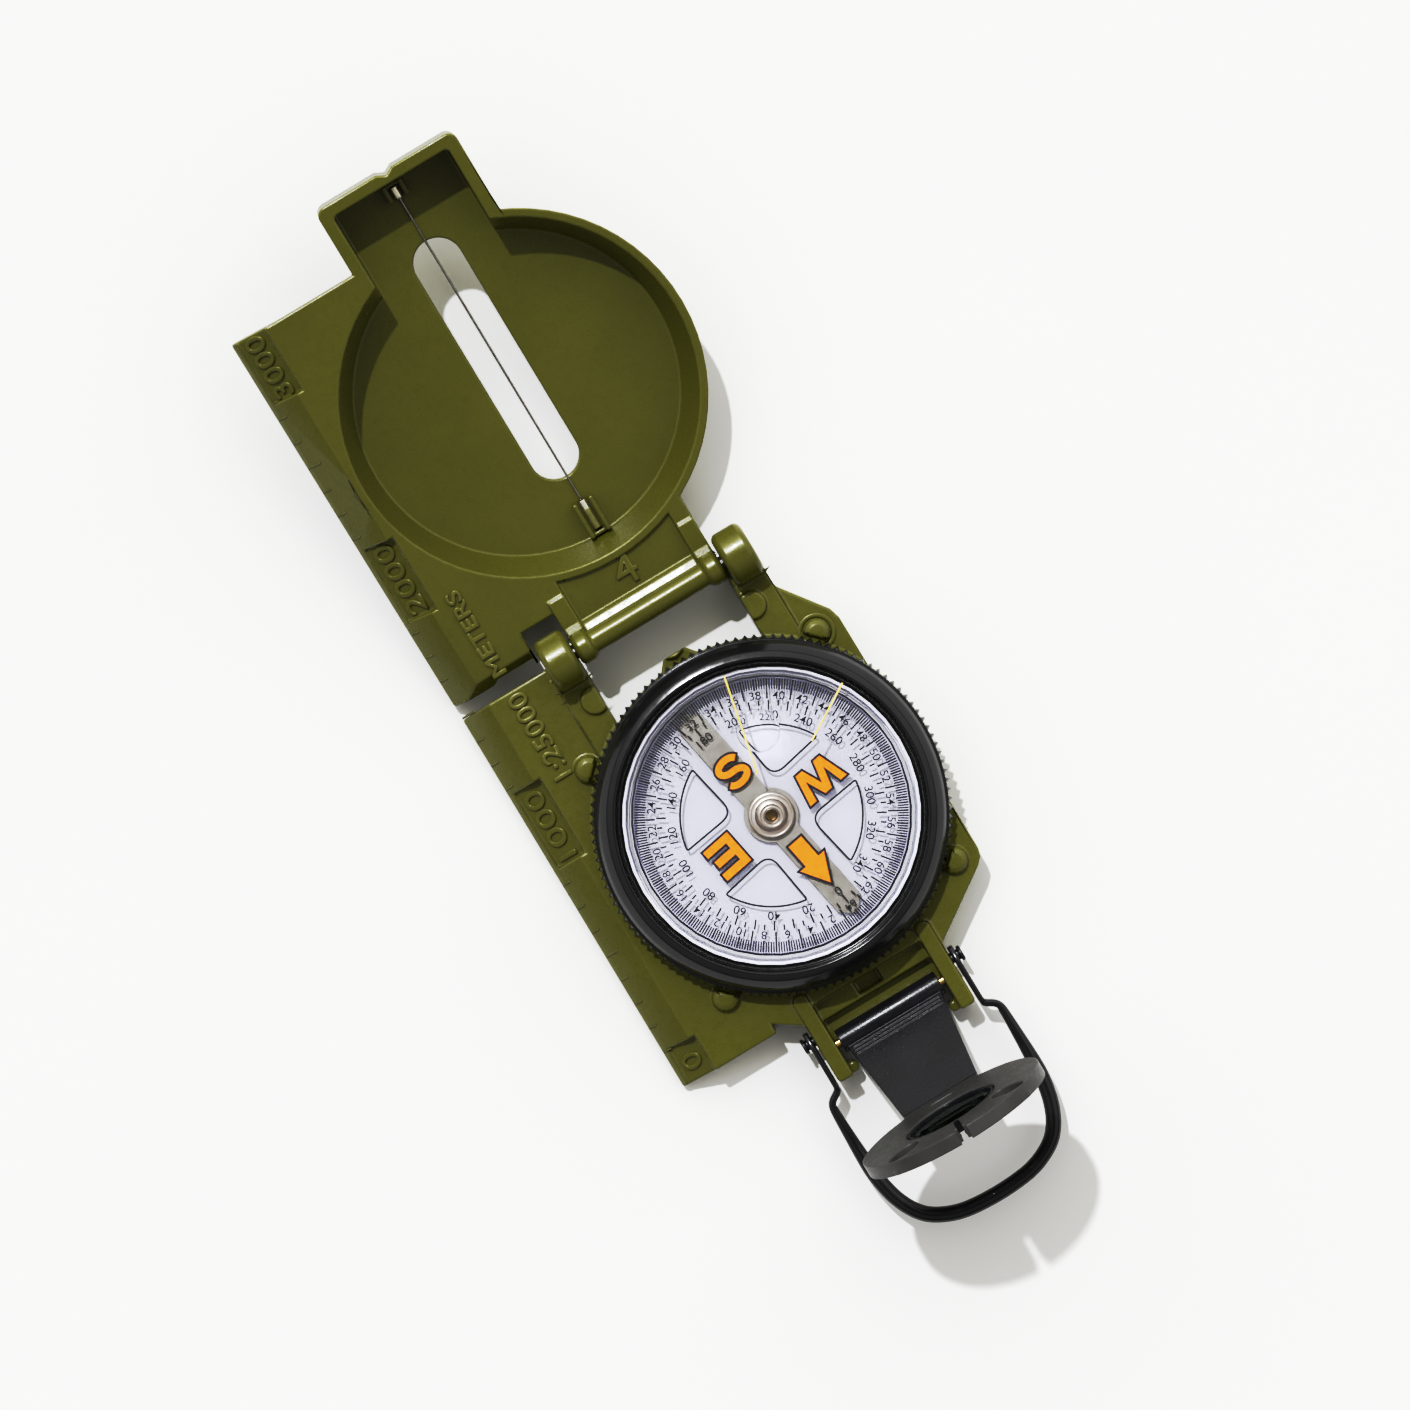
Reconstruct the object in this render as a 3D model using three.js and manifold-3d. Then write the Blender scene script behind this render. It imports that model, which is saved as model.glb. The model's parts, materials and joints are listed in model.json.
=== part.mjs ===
// Folding sighting compass with a map ruler, opened for use.
// Millimetres, +Z up. The origin is on the underside, below the centre of the dial;
// +Y points to the cover hinge and -X to the ruler edge.

import * as THREE from 'three';
import { mergeVertices } from 'three/addons/utils/BufferGeometryUtils.js';
import Module from 'manifold-3d';

const wasm = await Module();
wasm.setup();

// ---------- driving dimensions ----------

const GAP = 0.3;                 // clearance between neighbouring pieces
const ROUND = 64;                // facets of the large round pieces
const INNER_ROUND = 40;          // facets of bores and of pieces inside the case
const SMALL_ROUND = 16;          // facets of pins and barrels
const SCREW_ROUND = 10;          // facets of screws and their holes

const CASE_TOP = 6.1;
const RAIL_TOP = 6.3;
const COLLAR = { radius: 25.5, top: 6.7 };
const UPSTAND = { inner: 21.5, outer: 22.6, top: 8.7 };
const BODY_HALF_WIDTH = 22.9;
const PLATE = { half: 21.4, corner: 3, thickness: 1 };
const BOSS = { offset: 19, radius: 2, top: 7.7 };

const RULER = { edge: -31, bevelTop: -26.5, drop: 4.5, edgeThickness: 1.2 };
const CASE_WING = { y0: -27.2, y1: 34.4, inner: -15.4 };
const POCKET = { x0: -30.1, x1: -25.6, depth: 0.35, rise: 2.7 };

const HINGE = { y: 34.3, z: 8.65 };
const EAR = { radius: 4.15, right: [12.7, 17.3], left: [-16.7, -12.1], bore: 1.4, ease: 0.8 };
const WINDOW_HALF_WIDTH = 12.1;
const RAIL_EDGE = 17.3;
const HINGE_PIN = { radius: 1.1, right: [10.4, 17.1], left: [-16.5, -9.9] };

const PRONG = { inner: 9, outer: 11.4, end: -37.9, top: 6.3, lip: 7.7, lipLength: 1.6, corner: 1.1 };
const EYE_PIVOT = { y: -33, z: 4.3 };
const EYE_PIN = { radius: 0.65, half: 10.6 };

const LOOP = { y: -31, z: 4.2, wire: 2.3, half: 13.6, end: -63.4 };
const LOOP_ARM = { half: 12.1, thickness: 0.8, width: 3, end: -38.8 };
const RIVET = { radius: 0.8, head: 1.15, inner: 9.4 };

const CUP = { outer: 21.2, inner: 20.1, floor: 1.6, ledge: 9.4, top: 11.1 };
const WINDOW = { radius: 20.4, z0: 10.35, z1: 10.95 };
const BACKING = { hole: 2.9, radius: 19.8, z0: 7.15, z1: 7.45 };
const CARD = { radius: 19.7, z0: 8.6, z1: 8.8 };
const NORTH = THREE.MathUtils.degToRad(-169.5);   // dial's north, turned from +Y about Z
const BAR = { half: 2.1, south: 19.2, north: 18.6, boss: 3.95, point: 1.8, z0: 7.75, z1: 8.3 };

const KNURL = { teeth: 120, outer: 25.9, root: 25.3, z0: 7, z1: 9.8 };
const BEZEL = { cone: 24.9, crown: 22.5, seat: 22.1, bore: 21.5, skirt: 23, top: 13 };
const GLASS = { radius: 21.8, z0: 11.8, z1: 12.6 };

const COVER_ANGLE = THREE.MathUtils.degToRad(12);
const RIM = -2.55;               // cover's rim plane, below the hinge axis when flat open
const DISH = { y: 34.7, rim: 25.5, floor: 23.5, outer: 26.8, foot: 25, depth: 6.9, skin: 1.4 };
const DISH_FLOOR = RIM - DISH.depth;
const COVER_FOOT = DISH_FLOOR - DISH.skin;
const TAB = { half: 11.2, inner: 9.3, end: 71.8, wall: 1.9, corner: 1.4 };
const SLOT = { half: 3.6, y0: 20.8, y1: 59.9 };
const COVER_WING = { y0: 0.9, y1: 61.6, thickness: 1.7, chamfer: 2 };
const ARM = { right: [9.6, 12.3], left: [-11.8, -9.1], step: 7.7, knuckle: 2.4, ease: 0.7 };
const ROD = 1.75;
const HINGE_FLOOR = { top: -3.2, bottom: -4.9 };
const WIRE = { radius: 0.16, z: DISH_FLOOR + 0.32, y0: 16.5, y1: 67.4 };
const POST = { half: 1.65, groove: 0.95, top: DISH_FLOOR + 2 };
const FERRULE = { radius: 0.65, z: DISH_FLOOR + 0.92, length: 4.6, upperLength: 1.8 };

const EYE_ARM = { length: 17.2, root: 7.85, crease: 5.95, thickness: 1.1 };
const EYE_ARM_ANGLE = THREE.MathUtils.degToRad(143);
const EYE_BEND = THREE.MathUtils.degToRad(-48.5);
const EYE_DISC = { radius: 14, centre: 14.4, thickness: 2, hole: 7 };
const EYE_BARREL = { radius: 1.8, half: 8.3, bore: 0.95 };
const LENS = { radius: 6.05, centre: 1.1, edge: 0.4 };
const LENS_RINGS = 4;

// ---------- materials ----------

function paint(colour, roughness = 0.5, metalness = 0) {
  return new THREE.MeshStandardMaterial({ color: colour, roughness, metalness });
}

const olive = paint(0x55532a, 0.45);
const black = paint(0x1c1c1f, 0.4);
const steel = paint(0xb4b4b0, 0.3, 1);
const brass = paint(0xb89a58, 0.35, 1);
const white = paint(0xdcdcea, 0.6);
const rubber = paint(0x202020, 0.8);
const yellow = paint(0xe1c85a, 0.5);
const glass = new THREE.MeshStandardMaterial(
  { color: 0xf4f7fa, roughness: 0.03, transparent: true, opacity: 0.25 });

// ---------- solids ----------

// One closed skin with shared corners and its faces pointing out.
function closed(geometry) {
  const bare = geometry.clone();
  bare.deleteAttribute('normal');
  bare.deleteAttribute('uv');
  const merged = mergeVertices(bare, 1e-4);
  const corner = merged.getAttribute('position');
  const [a, b, c] = [new THREE.Vector3(), new THREE.Vector3(), new THREE.Vector3()];
  const kept = [];
  let volume = 0;
  for (let i = 0; i < merged.index.count; i += 3) {
    const ids = [0, 1, 2].map((k) => merged.index.getX(i + k));
    if (new Set(ids).size < 3) continue;
    kept.push(...ids);
    [a, b, c].forEach((v, k) => v.fromBufferAttribute(corner, ids[k]));
    volume += a.dot(b.cross(c));
  }
  merged.setIndex(volume < 0 ? kept.reverse() : kept);
  return merged;
}

function solid(geometry) {
  const skin = closed(geometry);
  return new wasm.Manifold(new wasm.Mesh({
    numProp: 3,
    vertProperties: new Float32Array(skin.getAttribute('position').array),
    triVerts: new Uint32Array(skin.index.array),
  }));
}

function geometryOf(result) {
  const mesh = result.getMesh();
  const geometry = new THREE.BufferGeometry();
  geometry.setAttribute('position', new THREE.BufferAttribute(mesh.vertProperties, 3));
  geometry.setIndex(new THREE.BufferAttribute(mesh.triVerts, 1));
  return geometry;
}

function join(...pieces) {
  return geometryOf(pieces.map(solid).reduce((sum, piece) => sum.add(piece)));
}

function cut(body, ...tools) {
  return geometryOf(tools.map(solid).reduce((rest, tool) => rest.subtract(tool), solid(body)));
}

// A box between two corners.
function block([x0, y0, z0], [x1, y1, z1]) {
  const box = new THREE.BoxGeometry(x1 - x0, y1 - y0, z1 - z0);
  return box.translate((x0 + x1) / 2, (y0 + y1) / 2, (z0 + z1) / 2);
}

function outline(points) {
  return new THREE.Shape(points.map(([x, y]) => new THREE.Vector2(x, y)));
}

// An outline in the XY plane, raised from z0 to z1.
function prism(shape, z0, z1, curveSegments = 12) {
  const depth = z1 - z0;
  return new THREE.ExtrudeGeometry(shape, { depth, bevelEnabled: false, curveSegments })
    .translate(0, 0, z0);
}

// A section of (x, z) points, drawn along Y from y0 to y1.
function beam(section, y0, y1) {
  const along = prism(outline(section), 0, y1 - y0);
  return along.rotateX(Math.PI / 2).translate(0, y1, 0);
}

// A side view of (y, z) points, drawn across X from x0 to x1.
function slab(side, x0, x1) {
  return prism(outline(side), 0, x1 - x0).rotateX(Math.PI / 2).rotateZ(Math.PI / 2)
    .translate(x0, 0, 0);
}

// A profile of (radius, z) points, turned about Z.
function turned(profile, facets = ROUND) {
  const points = profile.map(([r, z]) => new THREE.Vector2(r, z));
  return new THREE.LatheGeometry(points, facets).rotateX(Math.PI / 2);
}

// A ring, or a disc when inner is 0.
function ring(inner, outer, z0, z1, facets = ROUND) {
  const profile = [[inner, z0], [outer, z0], [outer, z1], [inner, z1]];
  if (inner > 0) profile.push(profile[0]);
  return turned(profile, facets);
}

// A round bar across X.
function crossBar(radius, x0, x1, y, z, facets = SMALL_ROUND) {
  return new THREE.CylinderGeometry(radius, radius, x1 - x0, facets)
    .rotateZ(Math.PI / 2).translate((x0 + x1) / 2, y, z);
}

// A round bar along Y.
function longBar(radius, y0, y1, z, facets = SMALL_ROUND) {
  return new THREE.CylinderGeometry(radius, radius, y1 - y0, facets).translate(0, (y0 + y1) / 2, z);
}

// A round bar across X with eased rims.
function easedBar(radius, x0, x1, y, z, ease, facets) {
  const profile = [[0, x0], [radius - ease, x0], [radius - ease * 0.3, x0 + ease * 0.3],
    [radius, x0 + ease], [radius, x1 - ease], [radius - ease * 0.3, x1 - ease * 0.3],
    [radius - ease, x1], [0, x1]];
  return turned(profile, facets).rotateY(Math.PI / 2).translate(0, y, z);
}

// A rectangle with round corners between two corners.
function rounded([x0, y0], [x1, y1], radius) {
  const shape = new THREE.Shape();
  shape.absarc(x1 - radius, y1 - radius, radius, 0, Math.PI / 2);
  shape.absarc(x0 + radius, y1 - radius, radius, Math.PI / 2, Math.PI);
  shape.absarc(x0 + radius, y0 + radius, radius, Math.PI, Math.PI * 1.5);
  shape.absarc(x1 - radius, y0 + radius, radius, Math.PI * 1.5, Math.PI * 2);
  return shape;
}

function roundedSquare(half, radius) {
  return rounded([-half, -half], [half, half], radius);
}

function mesh(name, geometry, material) {
  const skin = closed(geometry);
  const piece = new THREE.Mesh(skin, material);
  piece.name = name;
  return piece;
}

// ---------- ruler wing, shared by case and cover ----------

// The bevelled edge: flat top at height top, falling to the ruler edge.
function rulerSection(top, inner, bottom) {
  const low = top - RULER.drop;
  return [[RULER.edge, low - RULER.edgeThickness], [RULER.edge, low], [RULER.bevelTop, top],
    [inner, top], [inner, bottom], [RULER.edge + 0.6, bottom]];
}

// A sloping pocket for a printed figure, sunk into the bevel.
function labelPocket(top, y0, y1) {
  const low = top - RULER.drop + (POCKET.x0 - RULER.edge) - POCKET.depth;
  return beam([[POCKET.x0, low], [POCKET.x1, low + POCKET.rise], [POCKET.x1, top + 2],
    [POCKET.x0, top + 2]], y0, y1);
}

// ---------- case ----------

function caseOutline() {
  const right = [[PRONG.outer, -28.4], [21.6, -21.5], [22.6, -20.5], [BODY_HALF_WIDTH, -19.3],
    [BODY_HALF_WIDTH, 19.2], [22.4, 20.9], [RAIL_EDGE, 27.8], [RAIL_EDGE, HINGE.y]];
  const left = right.map(([x, y]) => [-x, y]).reverse();
  return outline([...right, ...left]);
}

function prong(side) {
  const body = prism(rounded([PRONG.inner, PRONG.end], [PRONG.outer, -24], PRONG.corner),
    0, PRONG.top, 5);
  const lip = prism(rounded([PRONG.lip, PRONG.end], [PRONG.outer, PRONG.end + PRONG.lipLength],
    PRONG.lipLength * 0.45), 0, PRONG.top, 5);
  const both = join(body, lip);
  return side > 0 ? both : both.applyMatrix4(new THREE.Matrix4().makeScale(-1, 1, 1));
}

function ear([x0, x1]) {
  const foot = block([x0, HINGE.y - EAR.radius, 2], [x1, HINGE.y, HINGE.z]);
  return join(easedBar(EAR.radius, x0, x1, HINGE.y, HINGE.z, EAR.ease, 32), foot);
}

// The D-shaped stops at the window's edges.
function stop(side) {
  const shape = new THREE.Shape();
  shape.absarc(side * 13.1, 27, 2.05, 0, Math.PI * 2);
  const inner = side * WINDOW_HALF_WIDTH;
  const room = block([Math.min(inner, side * 20), 22, 0], [Math.max(inner, side * 20), 32, 10]);
  return geometryOf(solid(prism(shape, 4, RAIL_TOP + 0.7)).intersect(solid(room)));
}

// A domed screw boss, cut flat where the bezel turns over it.
function boss([i, j]) {
  const dome = turned([[0, 5], [BOSS.radius, 5], [BOSS.radius, BOSS.top - 0.9],
    [1.7, BOSS.top - 0.4], [1.1, BOSS.top - 0.1], [0, BOSS.top]], SMALL_ROUND)
    .translate(i * BOSS.offset, j * BOSS.offset, 0);
  return cut(dome, ring(0, KNURL.outer + GAP, COLLAR.top, 10));
}

// The fixed pointer at the hinge window, on a lug of the collar.
function pointer() {
  const lug = prism(outline([[-3.4, 24.9], [3.4, 24.9], [1.8, 26.9], [-1.8, 26.9]]), 4, COLLAR.top);
  const mark = prism(outline([[-1.6, 26.9], [0, 26.15], [1.6, 26.9]]), 4, COLLAR.top + 0.9);
  return join(lug, mark);
}

const corners = [[1, 1], [-1, 1], [-1, -1], [1, -1]];

function baseFrame() {
  const body = prism(caseOutline(), 0, CASE_TOP);
  const window = block([-WINDOW_HALF_WIDTH, 20, -1], [WINDOW_HALF_WIDTH, 40, 12]);
  const rails = [[-16.9, -WINDOW_HALF_WIDTH], [WINDOW_HALF_WIDTH, RAIL_EDGE]].map(
    ([x0, x1]) => block([x0, 19.5, 1], [x1, HINGE.y - 2, RAIL_TOP]));
  const wing = beam(rulerSection(CASE_TOP, CASE_WING.inner, 0), CASE_WING.y0, CASE_WING.y1);
  const wingHollow = beam([[-28.6, -1], [-28.6, 1.4], [-25.9, 4.1], [-24.2, 4.1], [-24.2, -1]],
    CASE_WING.y0 + 1.6, CASE_WING.y1 - 1.6);
  const tailFloor = join(block([-PRONG.outer, -29.3, 0], [PRONG.outer, -20, 3.8]),
    block([-PRONG.outer, -34, 0], [PRONG.outer, -29, 2]));
  const tailRoom = block([-PRONG.inner, -50, 3.8], [PRONG.inner, -26.4, 12]);
  const tailPocket = block([-2.4, -28.6, 2.2], [1.6, -26.7, 12]);
  const pinHole = crossBar(EYE_PIN.radius + GAP, -20, 20, EYE_PIVOT.y, EYE_PIVOT.z);
  const rivetHole = crossBar(RIVET.radius + GAP, -20, 20, LOOP.y, LOOP.z);
  const hingeHole = crossBar(EAR.bore, -25, 25, HINGE.y, HINGE.z);
  const collar = join(ring(0, COLLAR.radius, 0, COLLAR.top), pointer());
  const upstand = ring(0, UPSTAND.outer, 0, UPSTAND.top, INNER_ROUND);
  const clipGroove = ring(UPSTAND.outer - 0.4, UPSTAND.outer + 0.4, 7.5, 8.2, INNER_ROUND);
  const detentSeat = block([-4.6, -25.1, 5.4], [4.6, -23.3, 8]).rotateZ(0.6);
  const well = ring(0, UPSTAND.inner, -1, 12, INNER_ROUND);
  const plateSeat = prism(roundedSquare(PLATE.half + GAP, PLATE.corner), -1,
    PLATE.thickness + GAP, 4);
  const screwHoles = corners.map(([i, j]) => ring(0, 1.1, 0, 5.2, SCREW_ROUND)
    .translate(i * BOSS.offset, j * BOSS.offset, 0));
  const casting = join(
    cut(join(body, wing, ...rails), window), tailFloor, prong(1), prong(-1),
    ear(EAR.right), ear(EAR.left), stop(1), stop(-1), ...corners.map(boss));
  const bored = cut(join(cut(casting, tailRoom), collar, upstand), well, clipGroove, detentSeat,
    tailPocket, plateSeat, wingHollow, pinHole, rivetHole, hingeHole, ...screwHoles);
  return cut(bored, labelPocket(CASE_TOP, 9.1, 21.4), labelPocket(CASE_TOP, -30, -21.4));
}

function basePlate() {
  const plate = prism(roundedSquare(PLATE.half, PLATE.corner), 0, PLATE.thickness, 4);
  const sinks = corners.map(([i, j]) => turned(
    [[0, -0.2], [1.75, -0.2], [1.75, 0.3], [1.1, 0.8], [1.1, 2], [0, 2]], SCREW_ROUND)
    .translate(i * BOSS.offset, j * BOSS.offset, 0));
  return cut(plate, ...sinks);
}

function screw([i, j]) {
  const profile = [[0, 0.45], [0.5, 0.45], [0.5, 0.08], [1.3, 0.08], [1.35, 0.35], [0.75, 0.9],
    [0.75, 4.6], [0, 4.9]];
  return turned(profile, SCREW_ROUND).translate(i * BOSS.offset, j * BOSS.offset, 0);
}

// A C-shaped wire clip, open at the tail side.
function clipRing() {
  const [inner, outer, open] = [22.45, 23.3, 0.2];
  const shape = new THREE.Shape();
  shape.absarc(0, 0, outer, -Math.PI / 2 + open, Math.PI * 1.5 - open, false);
  shape.absarc(0, 0, inner, Math.PI * 1.5 - open, -Math.PI / 2 + open, true);
  return prism(shape, 7.65, 8.05, INNER_ROUND / 2);
}

// A bowed leaf with a raised middle that rides the bezel's teeth.
function detentSpring() {
  const side = [[-4.2, 5.75], [-1.2, 6.15], [-0.6, 6.55], [0.6, 6.55], [1.2, 6.15], [4.2, 5.75],
    [4.2, 6], [1.35, 6.4], [0.75, 6.8], [-0.75, 6.8], [-1.35, 6.4], [-4.2, 6]];
  return beam(side, -24.8, -23.6).rotateZ(0.6);
}

// ---------- capsule and dial ----------

function capsuleCup() {
  const { outer, inner, floor, ledge, top } = CUP;
  return turned([[0, floor], [outer, floor], [outer, top], [inner + 0.65, top],
    [inner + 0.65, ledge], [inner, ledge], [inner, floor + 1], [0, floor + 1]], INNER_ROUND);
}

function pivotPost() {
  return turned([[0, 2.9], [2.4, 2.9], [2.4, 3.4], [0.7, 3.6], [0.6, 6.2], [0, 6.75]], SMALL_ROUND);
}

// A flat bar with pointed ends and a round boss in the middle.
function magnetBar() {
  const { half, south, north, boss, point, z0, z1 } = BAR;
  const bar = outline([[-half, point - south], [0, -south], [half, point - south],
    [half, north - point], [0, north], [-half, north - point]]);
  return cut(join(prism(bar, z0, z1), ring(0, boss, z0, z1, SMALL_ROUND * 2)),
    ring(0, 1.9, 0, 12, SMALL_ROUND));
}

function dialHub() {
  return turned([[0, 7.6], [1.1, 7.6], [1.1, 6.3], [1.6, 6.3], [1.6, 9.1], [3.3, 9.1], [3.3, 9.4],
    [2.9, 9.5], [2.3, 9.5], [2.3, 9.8], [1.55, 9.8], [1.55, 9.65], [0.85, 9.65], [0.85, 9.5],
    [0, 9.5]], 24);
}

function hubJewel() {
  return turned([[0, 7.35], [0.8, 7.35], [0.8, 6.4], [0.65, 6.4], [0, 7.1]], SMALL_ROUND);
}

// ---------- bezel ----------

function bezelRing() {
  const teeth = [];
  for (let i = 0; i < KNURL.teeth * 2; i += 1) {
    const angle = Math.PI * i / KNURL.teeth;
    const radius = i % 2 ? KNURL.root : KNURL.outer;
    teeth.push([radius * Math.cos(angle), radius * Math.sin(angle)]);
  }
  const knurl = prism(outline(teeth), KNURL.z0, KNURL.z1);
  const cone = turned([[0, KNURL.z0 + 1], [BEZEL.cone, KNURL.z0 + 1], [BEZEL.cone, 10.1],
    [24.3, 11.4], [23.4, 12.6], [BEZEL.crown, BEZEL.top], [0, BEZEL.top]]);
  const inside = turned([[0, 5], [BEZEL.skirt, 5], [BEZEL.skirt, 7.5], [BEZEL.skirt + 0.6, 7.5],
    [BEZEL.skirt + 0.6, 8.2], [BEZEL.skirt, 8.2], [BEZEL.skirt, 9], [BEZEL.bore, 9],
    [BEZEL.bore, 11.5], [BEZEL.seat, 11.5], [BEZEL.seat, 14], [0, 14]], INNER_ROUND);
  return cut(join(knurl, cone), inside);
}

// A thin line lying on the glass, from one radius to another, at an angle clockwise from +Y.
function indexLine(r0, r1, degrees) {
  return block([-0.13, r0, GLASS.z1 + 0.05], [0.13, r1, GLASS.z1 + 0.15])
    .rotateZ(THREE.MathUtils.degToRad(-degrees));
}

// ---------- cover, drawn flat open with the hinge axis at its origin ----------

function coverArm([x0, x1]) {
  const profile = [[10.5, -6.2], [10.5, RIM], [ARM.step, RIM], [ARM.step - 0.2, RIM + 0.35],
    [3.2, RIM + 0.6], [2.2, RIM + 1], [1.6, -0.9], [0, 0], [1.2, -1.9], [4.6, -6.2]];
  return join(slab(profile, x0, x1), easedBar(ARM.knuckle, x0, x1, 0, 0, ARM.ease, 32));
}

function hingeBlock() {
  const { top, bottom } = HINGE_FLOOR;
  const side = [[0, -1.5], [0.4, -1.4], [2.5, -2.5], [2.7, top], [12, top], [12, bottom],
    [2.4, bottom], [0.4, -3]];
  const [x0, x1] = [ARM.left[1] - 0.5, ARM.right[0] + 0.5];
  return join(slab(side, x0, x1), crossBar(ROD, x0, x1, 0, 0, 32));
}

function coverWing() {
  const { y0, y1, thickness, chamfer } = COVER_WING;
  const bottom = RIM - thickness;
  const low = RIM - RULER.drop;
  const section = [[RULER.edge, low - RULER.edgeThickness], [RULER.edge, low], [RULER.bevelTop, RIM],
    [-8, RIM], [-8, bottom], [-23.4, bottom], [-24.8, bottom - 1.3],
    [-29.9, low - RULER.edgeThickness]];
  const wing = beam(section, y0, y1);
  const bevelEnd = slab([[y0 - 1, RIM - 9], [y0, RIM - 9], [y0, RIM - chamfer - 0.4],
    [y0 + chamfer, RIM], [y0 + chamfer, RIM + 1], [y0 - 1, RIM + 1]], -40, -17.5);
  const earNotch = block([-17.2, -5, -20], [ARM.left[0], 5.8, 5]);
  const hingeSide = block([ARM.left[0], -5, -20], [0, ARM.step, 5]);
  return cut(wing, bevelEnd, earNotch, hingeSide);
}

function coverLid() {
  const dishOuter = turned([[0, COVER_FOOT], [DISH.foot, COVER_FOOT], [DISH.outer, RIM], [0, RIM]])
    .translate(0, DISH.y, 0);
  const dishRoom = turned([[0, DISH_FLOOR], [DISH.floor, DISH_FLOOR], [DISH.rim, RIM],
    [DISH.rim, RIM + 3], [0, RIM + 3]]).translate(0, DISH.y, 0);
  const tab = prism(rounded([-TAB.half, 48], [TAB.half, TAB.end], TAB.corner), COVER_FOOT, RIM, 5);
  const tabRoom = prism(rounded([-TAB.inner, 48], [TAB.inner, TAB.end - TAB.wall], TAB.corner / 2),
    DISH_FLOOR, RIM + 3, 4);
  const shoulder = block([0, ARM.step, RIM - 1.7], [ARM.right[1], 14, RIM]);
  const slot = new THREE.Shape();
  slot.absarc(0, SLOT.y1 - SLOT.half, SLOT.half, 0, Math.PI);
  slot.absarc(0, SLOT.y0 + SLOT.half, SLOT.half, Math.PI, Math.PI * 2);
  const dimple = prism(outline([[-1.3, TAB.end + 1], [-1.3, TAB.end], [0, TAB.end - 0.7],
    [1.3, TAB.end], [1.3, TAB.end + 1]]), -20, 5);
  const hingeRoom = block([ARM.left[1], ARM.step - 0.1, HINGE_FLOOR.top], [ARM.right[0], 12, 5]);
  const hingeRoomInDish = cut(hingeRoom, ring(0, DISH.outer, -20, 20).translate(0, DISH.y, 0));
  const pinHoles = [[HINGE_PIN.right[0] - GAP, 20], [-20, HINGE_PIN.left[1] + GAP]].map(
    ([x0, x1]) => crossBar(HINGE_PIN.radius + GAP, x0, x1, 0, 0));
  const body = join(cut(join(shoulder, coverWing()), hingeRoomInDish), dishOuter, tab,
    coverArm(ARM.right), coverArm(ARM.left), hingeBlock());
  return cut(body, dishRoom, tabRoom, prism(slot, -20, 5, 16), dimple, ...pinHoles,
    labelPocket(RIM, 15.1, 27.1), labelPocket(RIM, 51.5, 70));
}

// Two ribs with a groove between them for the end of the wire.
function wirePost(y0, y1, bridgeStart) {
  const body = block([-POST.half, y0, DISH_FLOOR + 0.05], [POST.half, y1, POST.top]);
  const groove = block([-POST.groove, y0 - 1, DISH_FLOOR + 0.01], [POST.groove, y1 + 1, POST.top + 1]);
  const bridge = block([-POST.half, bridgeStart, DISH_FLOOR + 0.05],
    [POST.half, bridgeStart + 0.6, POST.top - 0.6]);
  return join(cut(body, groove), bridge);
}

function sightingWire() {
  const lower = longBar(FERRULE.radius, WIRE.y0 + 0.4 - FERRULE.length, WIRE.y0 + 0.4, FERRULE.z, 12);
  const upper = longBar(FERRULE.radius, WIRE.y1 - 0.4, WIRE.y1 - 0.4 + FERRULE.upperLength,
    FERRULE.z, 12);
  return join(longBar(WIRE.radius, WIRE.y0, WIRE.y1, WIRE.z, 8), lower, upper);
}

// ---------- eyepiece, drawn with the arm along +Y and the barrel at its origin ----------

function eyeDiscOutline() {
  const { radius, centre, hole } = EYE_DISC;
  const shape = new THREE.Shape();
  const spread = Math.asin(EYE_ARM.crease / radius);
  shape.moveTo(EYE_ARM.crease, -0.2);
  shape.absarc(0, centre, radius, -Math.PI / 2 + spread, Math.PI * 1.5 - spread);
  shape.lineTo(-EYE_ARM.crease, -0.2);
  const lensHole = new THREE.Path().absarc(0, centre, hole, 0, Math.PI * 2);
  const neckSlot = new THREE.Path();
  neckSlot.absarc(1.2, 3.6, 0.8, -Math.PI / 2, Math.PI / 2);
  neckSlot.absarc(-1.2, 3.6, 0.8, Math.PI / 2, Math.PI * 1.5);
  shape.holes.push(lensHole, neckSlot);
  return shape;
}

// The oval hollows beside the sight slot, in the face that looks to the cover.
function eyeDiscHollows(z0, z1) {
  return [-1, 1].map((side) => {
    const oval = new THREE.Shape().absellipse(side * 8.1, EYE_DISC.centre + 7.2, 1.9, 2.9,
      0, Math.PI * 2, false, side * -0.75);
    return prism(oval, z0, z1);
  });
}

function eyepieceBracket() {
  const { length, root, crease, thickness } = EYE_ARM;
  const arm = prism(outline([[-root, 0], [root, 0], [crease, length], [-crease, length]]),
    -thickness / 2, thickness / 2);
  const bend = crossBar(1, -crease, crease, length, 0, SMALL_ROUND);
  const ribs = [2.3, 2.9, 3.5].map((y) => crossBar(0.22, -7.4, 7.4, y, thickness / 2, 8));
  const half = EYE_DISC.thickness / 2;
  const top = EYE_DISC.centre + EYE_DISC.radius;
  const sight = join(block([-0.4, EYE_DISC.centre + 6, -3], [0.4, top + 1, 3]),
    block([-0.8, top - 1.6, -3], [0.8, top + 1, 3]));
  const disc = cut(prism(eyeDiscOutline(), -half, half, 14), sight, ...eyeDiscHollows(-3, 0.2))
    .rotateX(EYE_BEND).translate(0, length, 0);
  const barrel = crossBar(EYE_BARREL.radius, -EYE_BARREL.half, EYE_BARREL.half, 0, 0, 32);
  const bore = crossBar(EYE_BARREL.bore, -20, 20, 0, 0);
  return cut(join(barrel, arm, bend, ...ribs, disc), bore);
}

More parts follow.
